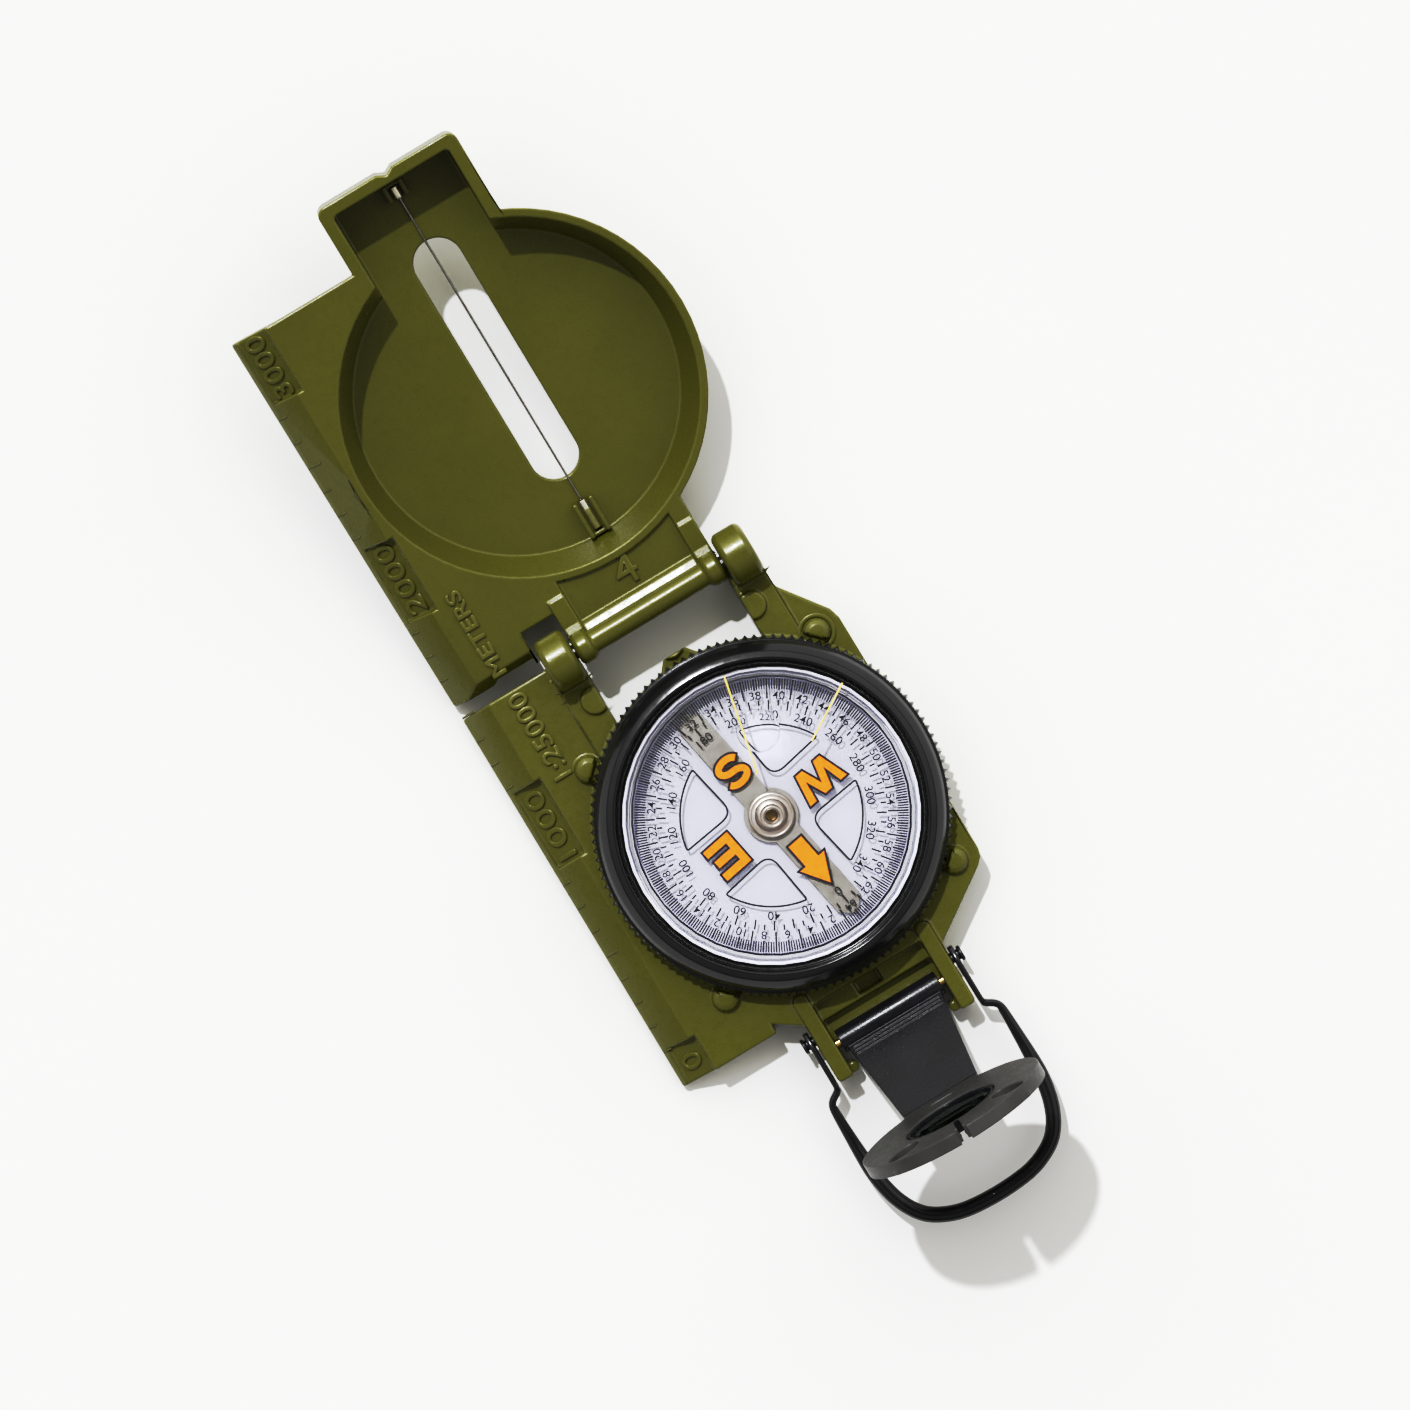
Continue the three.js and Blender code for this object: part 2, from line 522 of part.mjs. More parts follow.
// Places a piece turned about the disc's own axis in the middle of the eyepiece disc.
function onDisc(geometry) {
  return geometry.translate(0, EYE_DISC.centre, 0).rotateX(EYE_BEND).translate(0, EYE_ARM.length, 0);
}

function lens() {
  const { radius, centre, edge } = LENS;
  const half = [];
  for (let i = 0; i <= LENS_RINGS; i += 1) {
    const r = radius * i / LENS_RINGS;
    half.push([r, edge + (centre - edge) * (1 - (r / radius) ** 2)]);
  }
  return turned([...half.map(([r, z]) => [r, -z]), ...half.reverse()], 28);
}

// ---------- thumb loop, drawn level with its pivot at the origin ----------

function thumbLoop() {
  const reach = LOOP.end - LOOP.y;
  const armEnd = LOOP_ARM.end - LOOP.y;
  const bow = new THREE.CatmullRomCurve3([
    [-12.95, armEnd + 0.6], [-13.3, armEnd - 0.5], [-13.95, armEnd - 2],
    [-14, armEnd - 5], [-14.1, -16], [-LOOP.half, -21], [-11, reach + 4], [-6.3, reach + 0.9],
    [0, reach], [6.3, reach + 0.9], [11, reach + 4], [LOOP.half, -21], [14.1, -16],
    [14, armEnd - 5], [13.95, armEnd - 2], [13.3, armEnd - 0.5], [12.95, armEnd + 0.6],
  ].map(([x, y]) => new THREE.Vector3(x, y, 0)));
  const section = new THREE.Shape().absarc(0, 0, LOOP.wire / 2, 0, Math.PI * 2);
  const wire = new THREE.ExtrudeGeometry(section,
    { steps: 48, curveSegments: 4, extrudePath: bow });
  const bars = [-1, 1].map((side) => {
    const [x0, x1] = [side * LOOP_ARM.half - LOOP_ARM.thickness / 2,
      side * LOOP_ARM.half + LOOP_ARM.thickness / 2];
    const bar = block([x0, armEnd, -LOOP_ARM.width / 2], [x1, 0, LOOP_ARM.width / 2]);
    return join(bar, crossBar(LOOP_ARM.width / 2, x0, x1, 0, 0));
  });
  return cut(join(wire, ...bars), crossBar(RIVET.radius + GAP, -20, 20, 0, 0));
}

function rivet(side) {
  const reach = LOOP_ARM.half + LOOP_ARM.thickness / 2 + GAP;
  const pin = crossBar(RIVET.radius, RIVET.inner, reach + 0.2, LOOP.y, LOOP.z);
  const head = crossBar(RIVET.head, reach, reach + 0.5, LOOP.y, LOOP.z);
  const piece = join(pin, head);
  return side > 0 ? piece : piece.applyMatrix4(new THREE.Matrix4().makeScale(-1, 1, 1));
}

// ---------- assembly ----------

const compass = new THREE.Group();

compass.add(
  mesh('base_frame', baseFrame(), olive),
  mesh('base_bottom_plate', basePlate(), black),
  ...corners.map((corner, i) => mesh(`plate_screw_${i + 1}`, screw(corner), steel)),
  mesh('hinge_pin_right',
    crossBar(HINGE_PIN.radius, ...HINGE_PIN.right, HINGE.y, HINGE.z), black),
  mesh('hinge_pin_left',
    crossBar(HINGE_PIN.radius, ...HINGE_PIN.left, HINGE.y, HINGE.z), black),
  mesh('bezel_clip_ring', clipRing(), steel),
  mesh('detent_spring', detentSpring(), steel),
  mesh('capsule_cup', capsuleCup(), white),
  mesh('dial_backing', ring(BACKING.hole, BACKING.radius, BACKING.z0, BACKING.z1, INNER_ROUND), white),
  mesh('capsule_gasket', ring(19.95, 20.5, 9.65, 10.1, INNER_ROUND), rubber),
  mesh('capsule_window', ring(0, WINDOW.radius, WINDOW.z0, WINDOW.z1, INNER_ROUND), glass),
  mesh('pivot_post', pivotPost(), steel),
  mesh('loop_rivet_right', rivet(1), black),
  mesh('loop_rivet_left', rivet(-1), black),
  mesh('eyepiece_pin',
    crossBar(EYE_PIN.radius, -EYE_PIN.half, EYE_PIN.half, EYE_PIVOT.y, EYE_PIVOT.z, 16), brass),
);

const dial = new THREE.Group();
dial.rotation.z = NORTH;
dial.add(
  mesh('dial_card', ring(2, CARD.radius, CARD.z0, CARD.z1, INNER_ROUND), white),
  mesh('magnet_bar', magnetBar(), steel),
  mesh('dial_hub', dialHub(), steel),
  mesh('hub_jewel', hubJewel(), brass),
);

const bezel = new THREE.Group();
bezel.add(
  mesh('bezel_ring', bezelRing(), black),
  mesh('bezel_glass', ring(0, GLASS.radius, GLASS.z0, GLASS.z1, INNER_ROUND), glass),
  mesh('index_line_long', indexLine(6.1, 20.9, 12.2), yellow),
  mesh('index_line_short', indexLine(12, 21.3, 59), yellow),
);

const cover = new THREE.Group();
cover.position.set(0, HINGE.y, HINGE.z);
cover.rotation.x = COVER_ANGLE;
cover.add(
  mesh('cover_lid', coverLid(), olive),
  mesh('wire_post_lower', wirePost(11.3, 16.9, 11.3), olive),
  mesh('wire_post_upper', wirePost(67, 69.6, 69), olive),
  mesh('sighting_wire', sightingWire(), steel),
);

const eyepiece = new THREE.Group();
eyepiece.position.set(0, EYE_PIVOT.y, EYE_PIVOT.z);
eyepiece.rotation.x = EYE_ARM_ANGLE;
eyepiece.add(
  mesh('eyepiece_bracket', eyepieceBracket(), black),
  mesh('lens_ring', onDisc(ring(6.35, 6.7, -0.9, 0.9, INNER_ROUND)), black),
  mesh('eyepiece_lens', onDisc(lens()), glass),
);

const loop = new THREE.Group();
loop.position.set(0, LOOP.y, LOOP.z);
loop.add(mesh('thumb_loop', thumbLoop(), black));

compass.add(dial, bezel, cover, eyepiece, loop);

export default compass;
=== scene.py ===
"""Sighting compass, opened for use: finishes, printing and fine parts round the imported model.

Shapes are drawn in millimetres and scaled to the frame's metres when they become pieces.
Angles on the dial run clockwise from its north. Angles on the case run clockwise from +Y.
"""

import json
import math

import bmesh
import bpy
from mathutils import Matrix, Vector


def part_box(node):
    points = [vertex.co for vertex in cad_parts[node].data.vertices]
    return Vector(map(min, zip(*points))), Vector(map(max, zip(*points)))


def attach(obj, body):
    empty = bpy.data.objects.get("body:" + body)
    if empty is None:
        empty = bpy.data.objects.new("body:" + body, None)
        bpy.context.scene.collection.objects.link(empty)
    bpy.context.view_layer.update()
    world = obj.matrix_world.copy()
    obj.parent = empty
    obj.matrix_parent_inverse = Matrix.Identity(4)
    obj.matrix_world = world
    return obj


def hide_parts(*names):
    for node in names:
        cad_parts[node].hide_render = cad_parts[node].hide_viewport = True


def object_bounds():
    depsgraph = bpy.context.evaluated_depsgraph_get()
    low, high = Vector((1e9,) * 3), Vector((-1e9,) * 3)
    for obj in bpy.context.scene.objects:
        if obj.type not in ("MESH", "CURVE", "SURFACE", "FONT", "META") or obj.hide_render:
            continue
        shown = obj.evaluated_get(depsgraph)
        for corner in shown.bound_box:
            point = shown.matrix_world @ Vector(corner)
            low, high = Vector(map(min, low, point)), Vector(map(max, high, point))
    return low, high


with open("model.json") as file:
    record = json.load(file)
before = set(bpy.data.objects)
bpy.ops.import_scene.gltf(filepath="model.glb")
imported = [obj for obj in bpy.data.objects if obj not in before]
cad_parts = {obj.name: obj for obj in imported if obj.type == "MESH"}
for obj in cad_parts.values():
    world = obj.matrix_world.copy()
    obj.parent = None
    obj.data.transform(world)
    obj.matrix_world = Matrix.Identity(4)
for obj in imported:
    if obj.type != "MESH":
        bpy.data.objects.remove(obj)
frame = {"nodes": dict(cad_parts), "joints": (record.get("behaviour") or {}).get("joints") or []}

CAD_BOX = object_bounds()
NODES = frame["nodes"]
JOINTS = {joint["name"]: joint for joint in frame["joints"]}
MM = 0.001
TO_METRES = Matrix.Scale(MM, 4)

# ---------- places, in millimetres, from the frame ----------


def low(node):
    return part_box(node)[0] / MM


def high(node):
    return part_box(node)[1] / MM


def pivot(joint):
    return Vector(JOINTS[joint]["pos_m"]) / MM


COVER_TILT = -math.radians(JOINTS["cover_hinge"]["range_deg"][0])
COVER = Matrix.Translation(pivot("cover_hinge")) @ Matrix.Rotation(COVER_TILT, 4, "X")
NORTH = 169.5                    # where the dial's north points, on the case
DIAL = Matrix.Rotation(-math.radians(NORTH), 4, "Z")
CARD_TOP = high("dial_card").z
INK = 0.02                       # height of the printing over the card
EYE_ARM_ANGLE = 143              # degrees about the eyepiece's pin, from +Y
EYE_BEND = -48.5                 # degrees from the arm to the disc
EYE_ARM = 17.2                   # from the pin to the bend
EYEPIECE = Matrix.Translation(pivot("eyepiece_fold")) @ Matrix.Rotation(
    math.radians(EYE_ARM_ANGLE), 4, "X")
EYE_DISC = EYEPIECE @ Matrix.Translation((0, EYE_ARM, 0)) @ Matrix.Rotation(
    math.radians(EYE_BEND), 4, "X")
LOOP = Matrix.Translation(pivot("loop_swing"))

CASE_TOP = 6.1                   # the ruler wing's flat, on the case
COVER_RIM = -2.55                # the cover's rim plane, from the hinge axis
HINGE_PLATE = -3.2               # the plate behind the hinge, from the hinge axis
RULER_EDGE = low("base_frame").x
RULER_DROP = 4.5                 # the ruler's bevel falls as far as it is wide
POCKET = {"x0": -30.1, "x1": -25.6, "depth": 0.35, "rise": 2.7}
GRADUATION = 4                   # 100 m on a 1:25 000 map


# ---------- shape helpers ----------


def direction(degrees):
    """The unit vector at an angle clockwise from +Y."""
    turn = math.radians(degrees)
    return Vector((math.sin(turn), math.cos(turn), 0))


def eased(points, reach, steps=4, closed=True):
    """The path with each corner replaced by a curve that starts reach before it."""
    path = [Vector(p) for p in points]
    made = []
    for i, corner in enumerate(path):
        if not closed and i in (0, len(path) - 1):
            made.append(corner)
            continue
        before = path[i - 1] - corner
        after = path[(i + 1) % len(path)] - corner
        cut = min(reach, before.length * 0.45, after.length * 0.45)
        start = corner + before.normalized() * cut
        end = corner + after.normalized() * cut
        for k in range(steps + 1):
            t = k / steps
            made.append(start.lerp(corner, t).lerp(corner.lerp(end, t), t))
    return made


def arc(centre, radius, start, end, steps):
    """Points on an arc, at angles in degrees counterclockwise from +X."""
    turns = [math.radians(start + (end - start) * k / steps) for k in range(steps + 1)]
    return [Vector((centre[0] + radius * math.cos(a), centre[1] + radius * math.sin(a)))
            for a in turns]


def finished(shape, smooth=True):
    """The bmesh as a mesh, with its faces pointing out."""
    bmesh.ops.recalc_face_normals(shape, faces=shape.faces)
    mesh = bpy.data.meshes.new("shape")
    shape.to_mesh(mesh)
    shape.free()
    mesh.shade_smooth() if smooth else mesh.shade_flat()
    return mesh


def skin(rings, closed=False):
    """A bmesh skin through rings of points; a ring of one point closes to it."""
    shape = bmesh.new()
    rows = [[shape.verts.new(p) for p in ring] for ring in rings]
    count = max(len(row) for row in rows)
    pairs = list(zip(rows, rows[1:]))
    if closed:
        pairs.append((rows[-1], rows[0]))
    for one, other in pairs:
        for k in range(count):
            n = (k + 1) % count
            corners = [one[k % len(one)], one[n % len(one)],
                       other[n % len(other)], other[k % len(other)]]
            shape.faces.new(list(dict.fromkeys(corners)))
    return shape


def turned(profile, facets=96, closed=False):
    """A profile of (radius, z) points turned about Z."""
    rings = []
    for radius, z in profile:
        if radius < 1e-6:
            rings.append([Vector((0, 0, z))])
            continue
        rings.append([direction(360 * k / facets) * radius + Vector((0, 0, z))
                      for k in range(facets)])
    return finished(skin(rings, closed))


def mesh_of(curve):
    """The mesh of a curve or text."""
    holder = bpy.data.objects.new("holder", curve)
    bpy.context.collection.objects.link(holder)
    seen = holder.evaluated_get(bpy.context.evaluated_depsgraph_get())
    mesh = bpy.data.meshes.new_from_object(seen)
    bpy.data.objects.remove(holder)
    return mesh


def plate(outlines, z0, z1, grow=0.0):
    """A flat piece between two heights: its rim, then its holes; grow widens it all round."""
    curve = bpy.data.curves.new("plate", "CURVE")
    curve.dimensions = "2D"
    curve.fill_mode = "BOTH"
    curve.extrude = (z1 - z0) / 2
    curve.offset = grow
    for outline in outlines:
        spline = curve.splines.new("POLY")
        spline.points.add(len(outline) - 1)
        for point, place in zip(spline.points, outline):
            point.co = (place[0], place[1], 0, 1)
        spline.use_cyclic_u = True
    mesh = mesh_of(curve)
    mesh.transform(Matrix.Translation((0, 0, (z0 + z1) / 2)))
    return mesh


def lettering(text, height, width=None, depth=0.0, weight=0.0):
    """Text centred on the origin, with its exact height and, where given, its width."""
    curve = bpy.data.curves.new("lettering", "FONT")
    curve.body = text
    curve.offset = weight
    curve.extrude = depth / height / 2
    curve.bevel_depth = depth / height / 4
    mesh = mesh_of(curve)
    xs = [v.co.x for v in mesh.vertices]
    ys = [v.co.y for v in mesh.vertices]
    scale = height / (max(ys) - min(ys))
    stretch = width / (max(xs) - min(xs)) if width else scale
    mesh.transform(Matrix.Translation((-(max(xs) + min(xs)) / 2, -(max(ys) + min(ys)) / 2, 0)))
    mesh.transform(Matrix.Diagonal((stretch, scale, scale, 1)))
    return mesh


def joined(meshes):
    """One mesh from several (mesh, placement) pairs."""
    shape = bmesh.new()
    for mesh, placement in meshes:
        copy = mesh.copy()
        copy.transform(placement)
        shape.from_mesh(copy)
        bpy.data.meshes.remove(copy)
    whole = bpy.data.meshes.new("joined")
    shape.to_mesh(whole)
    shape.free()
    return whole


def ribbon(path, width, z):
    """A flat closed line of even width along a closed path."""
    shape = bmesh.new()
    sides = []
    for i, point in enumerate(path):
        along = (path[(i + 1) % len(path)] - path[i - 1]).normalized()
        across = Vector((-along.y, along.x)) * width / 2
        sides.append([shape.verts.new((*(point + across), z)),
                      shape.verts.new((*(point - across), z))])
    for i, (a, b) in enumerate(sides):
        c, d = sides[(i + 1) % len(sides)]
        shape.faces.new([a, b, d, c])
    return finished(shape)


def lying(origin, along, up):
    """Places a drawing on a surface: its x runs along, its y runs up."""
    x = Vector(along).normalized()
    y = Vector(up).normalized()
    turn = Matrix((x, y, x.cross(y))).transposed().to_4x4()
    return Matrix.Translation(origin) @ turn


def piece(name, mesh, material, body, place=Matrix()):
    """Makes a mesh drawn in millimetres a piece that rides on a body."""
    mesh.transform(TO_METRES @ place)
    mesh.materials.clear()
    mesh.materials.append(material)
    made = bpy.data.objects.new(name, mesh)
    bpy.context.collection.objects.link(made)
    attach(made, body)
    return made


# ---------- material helpers ----------


def node(tree, kind, inputs=None, **settings):
    """A shader node; an input that is given a socket is linked to it."""
    made = tree.nodes.new("ShaderNode" + kind)
    for key, value in settings.items():
        setattr(made, key, value)
    for key, value in (inputs or {}).items():
        if isinstance(value, bpy.types.NodeSocket):
            tree.links.new(value, made.inputs[key])
        else:
            made.inputs[key].default_value = value
    return made


def new_material(name):
    material = bpy.data.materials.get(name)
    if material is None:
        material = bpy.data.materials.new(name)
    material.use_nodes = True
    material.node_tree.nodes.clear()
    return material, material.node_tree


def noise(tree, size, detail=3.0, rough=0.5):
    """Noise whose features are about size millimetres across."""
    place = node(tree, "TexCoord").outputs["Object"]
    return node(tree, "TexNoise", {"Vector": place, "Scale": 1 / (size * MM), "Detail": detail,
                                   "Roughness": rough}).outputs["Fac"]


def ranged(tree, value, low_in, high_in, low_out, high_out):
    return node(tree, "MapRange", {"Value": value, "From Min": low_in, "From Max": high_in,
                                   "To Min": low_out, "To Max": high_out}).outputs[0]


def mixed(tree, factor, first, second):
    """A colour between two."""
    mix = node(tree, "Mix", {0: factor, 6: first, 7: second}, data_type="RGBA")
    return mix.outputs[2]


def product(tree, first, second):
    return node(tree, "Math", {0: first, 1: second}, operation="MULTIPLY").outputs[0]


def rounded_normal(tree, radius):
    """The surface normal, turned softly over sharp edges."""
    return node(tree, "Bevel", {"Radius": radius * MM}, samples=6).outputs["Normal"]


def edge_wear(tree, radius):
    """1 on sharp edges and 0 on flat ground."""
    soft = rounded_normal(tree, radius)
    true = node(tree, "NewGeometry").outputs["Normal"]
    dot = node(tree, "VectorMath", {0: soft, 1: true}, operation="DOT_PRODUCT").outputs["Value"]
    return ranged(tree, dot, 0.99, 0.8, 0.0, 1.0)


def bumped(tree, height, depth, normal, strength):
    return node(tree, "Bump", {"Height": height, "Distance": depth * MM, "Strength": strength,
                               "Normal": normal}).outputs["Normal"]


def surface(tree, inputs):
    """Ends the tree in a Principled shader."""
    shader = node(tree, "BsdfPrincipled", inputs)
    node(tree, "OutputMaterial", {"Surface": shader.outputs[0]})


def shade(r, g, b):
    return (r, g, b, 1.0)


# ---------- materials ----------


def olive_paint(name, darker, lighter, worn_and_highlight):
    """Semi-gloss enamel on a casting: mottled, with orange peel, and lighter edges that are partly
    wear and partly a painted highlight.
    """
    material, tree = new_material(name)
    mottle = ranged(tree, noise(tree, 14, 4), 0.35, 0.65, 0.0, 1.0)
    colour = mixed(tree, mottle, shade(*darker), shade(*lighter))
    grime = ranged(tree, noise(tree, 0.9, 6, 0.7), 0.30, 0.50, 0.75, 0.0)
    colour = mixed(tree, product(tree, grime, 0.16), colour, shade(0.050, 0.045, 0.006))
    # Lighter olive on sharp edges: partly real rubbing, partly a painted highlight on edges that
    # catch the light.
    rubbed = ranged(tree, noise(tree, 2.2, 5), 0.35, 0.65, 0.15, 0.8)
    wear = product(tree, edge_wear(tree, 0.22), rubbed)
    colour = mixed(tree, wear, colour, shade(*worn_and_highlight))
    rough = ranged(tree, noise(tree, 1.6, 5, 0.6), 0.3, 0.7, 0.24, 0.33)
    peel = noise(tree, 0.42, 2.0)
    grit = ranged(tree, noise(tree, 0.16, 1.0), 0.62, 0.78, 0.0, 1.0)
    normal = bumped(tree, peel, 0.030, rounded_normal(tree, 0.30), 0.55)
    normal = bumped(tree, grit, 0.012, normal, 0.35)
    surface(tree, {"Base Color": colour, "Roughness": rough, "Normal": normal,
                   "Specular IOR Level": 0.5})
    return material


def black_finish(name, colour, polished, dull, peel_size, peel_depth):
    """Black lacquer or blacking, with its own gloss and grain."""
    material, tree = new_material(name)
    tone = ranged(tree, noise(tree, 6, 4), 0.3, 0.7, 0.0, 1.0)
    base = mixed(tree, tone, shade(*colour), shade(*(c * 1.5 for c in colour)))
    rubbed = ranged(tree, noise(tree, 1.2, 5), 0.45, 0.7, 0.0, 0.5)
    wear = product(tree, edge_wear(tree, 0.12), rubbed)
    base = mixed(tree, wear, base, shade(0.09, 0.088, 0.085))
    rough = ranged(tree, noise(tree, 0.8, 6, 0.65), 0.3, 0.7, polished, dull)
    normal = bumped(tree, noise(tree, peel_size, 2.0), peel_depth, rounded_normal(tree, 0.15), 0.6)
    surface(tree, {"Base Color": base, "Roughness": rough, "Normal": normal})
    return material


def metal(name, colour, stain, polished, dull, grain):
    """Bare metal: stained in patches, with fine scratches along one way."""
    material, tree = new_material(name)
    patch = ranged(tree, noise(tree, 1.8, 5, 0.6), 0.35, 0.7, 0.0, 1.0)
    base = mixed(tree, patch, shade(*colour), shade(*stain))
    place = node(tree, "TexCoord").outputs["Object"]
    drawn = node(tree, "Mapping", {"Vector": place, "Scale": grain}).outputs["Vector"]
    scratch = node(tree, "TexNoise", {"Vector": drawn, "Scale": 1 / MM,
                                      "Detail": 3.0}).outputs["Fac"]
    rough = ranged(tree, scratch, 0.3, 0.7, polished, dull)
    normal = bumped(tree, scratch, 0.004, rounded_normal(tree, 0.12), 0.4)
    surface(tree, {"Base Color": base, "Metallic": 1.0, "Roughness": rough, "Normal": normal})
    return material


def moulded(name, colour, second, polished, dull):
    """Moulded plastic or rubber: faint flow marks and a fine grain."""
    material, tree = new_material(name)
    flow = ranged(tree, noise(tree, 5, 3), 0.3, 0.7, 0.0, 1.0)
    base = mixed(tree, flow, shade(*colour), shade(*second))
    rough = ranged(tree, noise(tree, 0.7, 4), 0.3, 0.7, polished, dull)
    normal = bumped(tree, noise(tree, 0.25, 2.0), 0.004, rounded_normal(tree, 0.1), 0.4)
    surface(tree, {"Base Color": base, "Roughness": rough, "Normal": normal})
    return material


def ink(name, colour, second):
    """Screen-printed ink: slightly uneven in cover and gloss."""
    material, tree = new_material(name)
    cover = ranged(tree, noise(tree, 0.5, 4, 0.6), 0.35, 0.7, 0.0, 1.0)
    base = mixed(tree, cover, shade(*colour), shade(*second))
    rough = ranged(tree, noise(tree, 0.3, 3), 0.3, 0.7, 0.38, 0.55)
    place = node(tree, "NewGeometry").outputs["Normal"]
    normal = bumped(tree, noise(tree, 0.12, 2.0), 0.003, place, 0.4)
    surface(tree, {"Base Color": base, "Roughness": rough, "Normal": normal})
    return material


def clear_pane(name, tint, haze):
    """Clear plastic that lets lamps through and mirrors by Fresnel, with faint handling marks."""
    material, tree = new_material(name)
    marks = ranged(tree, noise(tree, 1.5, 6, 0.7), 0.45, 0.75, 0.015, haze)
    gloss = node(tree, "BsdfGlossy", {"Color": shade(1, 1, 1), "Roughness": marks})
    through = node(tree, "BsdfTransparent", {"Color": shade(*tint)})
    fresnel = node(tree, "Fresnel", {"IOR": 1.46}).outputs["Fac"]
    mix = node(tree, "MixShader", {0: fresnel, 1: through.outputs[0], 2: gloss.outputs[0]})
    node(tree, "OutputMaterial", {"Surface": mix.outputs[0]})
    return material


def bending_glass(name, tint, shadow_tint, index):
    """Clear matter that bends light; the second tint is what it leaves of a lamp."""
    material, tree = new_material(name)
    marks = ranged(tree, noise(tree, 1.0, 6, 0.7), 0.45, 0.75, 0.0, 0.03)
    glass = node(tree, "BsdfGlass", {"Color": shade(*tint), "Roughness": marks, "IOR": index})
    through = node(tree, "BsdfTransparent", {"Color": shade(*shadow_tint)})
    lamp = node(tree, "LightPath").outputs["Is Shadow Ray"]
    mix = node(tree, "MixShader", {0: lamp, 1: glass.outputs[0], 2: through.outputs[0]})
    node(tree, "OutputMaterial", {"Surface": mix.outputs[0]})
    return material


PAINT_END = 0.055                # where paint and ferrules end, as parts of the wire's length
FERRULES = (0.081, 0.967)


def wire_steel():
    """A drawn wire between two soldered ferrules; the lower one is painted over. The ferrules'
    cream is partly a painted highlight, and the bare wire's dark grey is partly painted shade.
    """
    material, tree = new_material("wire_steel")
    place = node(tree, "TexCoord").outputs["Generated"]
    along = node(tree, "SeparateXYZ", {0: place}).outputs["Y"]
    painted = ranged(tree, along, PAINT_END, PAINT_END + 0.003, 1.0, 0.0)
    lower = ranged(tree, along, FERRULES[0], FERRULES[0] + 0.001, 1.0, 0.0)
    upper = ranged(tree, along, FERRULES[1], FERRULES[1] + 0.001, 0.0, 1.0)
    ferrule = node(tree, "Math", {0: lower, 1: upper}, operation="ADD").outputs[0]
    patch = ranged(tree, noise(tree, 0.8, 5, 0.6), 0.35, 0.7, 0.0, 1.0)
    # Bare wire: dark grey, partly its own steel and partly painted shade for its shadowed side.
    # Ferrules: cream, partly their own colour and partly a painted highlight.
    bare = mixed(tree, patch, shade(0.30, 0.29, 0.27), shade(0.20, 0.19, 0.175))
    solder_and_highlight = mixed(tree, patch, shade(0.74, 0.71, 0.60), shade(0.60, 0.57, 0.46))
    paint = mixed(tree, patch, shade(0.16, 0.155, 0.045), shade(0.21, 0.20, 0.08))
    colour = mixed(tree, painted, mixed(tree, ferrule, bare, solder_and_highlight), paint)
    rough = ranged(tree, ferrule, 0.0, 1.0, 0.22, 0.46)
    metallic = ranged(tree, painted, 0.0, 1.0, 1.0, 0.3)
    normal = bumped(tree, noise(tree, 0.3, 3.0), 0.006, rounded_normal(tree, 0.12), 0.4)
    surface(tree, {"Base Color": colour, "Metallic": metallic, "Roughness": rough,
                   "Normal": normal})
    return material


OLIVE = olive_paint("olive_paint", (0.102, 0.101, 0.0135), (0.112, 0.111, 0.0155),
                    (0.24, 0.23, 0.09))
# Olive for the raised lettering: lighter than the case, and its pale edge colour is partly rubbed
# paint and partly a painted highlight on the letters.
RUBBED_HIGHLIT_OLIVE = olive_paint("rubbed_highlit_olive", (0.112, 0.110, 0.018), (0.130, 0.127, 0.024),
                           (0.42, 0.40, 0.22))
BEZEL_BLACK = black_finish("black_bezel", (0.010, 0.010, 0.011), 0.14, 0.24, 0.6, 0.010)
SATIN_BLACK = black_finish("black_satin", (0.0085, 0.0085, 0.011), 0.22, 0.36, 0.30, 0.034)
WORN_BLACK = black_finish("worn_black", (0.050, 0.049, 0.047), 0.30, 0.46, 0.16, 0.050)
STEEL = metal("bright_steel", (0.62, 0.60, 0.56), (0.46, 0.43, 0.38), 0.16, 0.34, (6, 0.6, 6))
WIRE_STEEL = wire_steel()
HUB_STEEL = metal("hub_steel", (0.66, 0.61, 0.55), (0.52, 0.47, 0.42), 0.30, 0.46, (5, 5, 5))
MAGNET = metal("magnet_grey", (0.50, 0.48, 0.43), (0.40, 0.385, 0.34), 0.42, 0.60, (5, 0.3, 5))
BRASS = metal("brass", (0.66, 0.48, 0.20), (0.42, 0.29, 0.12), 0.18, 0.36, (0.6, 5, 5))
WHITE = moulded("white_plastic", (0.88, 0.88, 0.98), (0.91, 0.91, 1.0), 0.30, 0.45)
# The gasket's grey is lightened past its own colour to offset the bezel's shadow across it:
# painted light.
SHADE_LIFTED_RUBBER = moulded("seal_rubber", (0.52, 0.52, 0.56), (0.60, 0.60, 0.64), 0.45, 0.65)
YELLOW = moulded("yellow_mark", (0.72, 0.55, 0.14), (0.82, 0.66, 0.22), 0.30, 0.45)
CLEAR = clear_pane("clear", (0.994, 0.994, 0.996), 0.06)
CARD = clear_pane("dial_print", (0.985, 0.985, 0.993), 0.08)
# The lens's grey tint is painted shade: it darkens the clear glass to stand in for the dark
# bracket seen through it.
SHADE_TINTED_LENS = bending_glass("lens_glass_shade_tinted", (0.42, 0.44, 0.43), (0.06, 0.06, 0.06), 1.52)
BUBBLE = bending_glass("bubble_air", (1.0, 1.0, 1.0), (0.97, 0.97, 0.98), 0.78)
BLACK_INK = ink("black_ink", (0.012, 0.012, 0.016), (0.030, 0.030, 0.036))
ORANGE_INK = ink("orange_ink", (0.93, 0.265, 0.002), (1.0, 0.33, 0.006))


# ---------- the CAD nodes: finer edges and finishes ----------

SHARP = math.radians(33)         # edges over this angle are rounded off
WELD = 0.0001                    # closer corners are made one


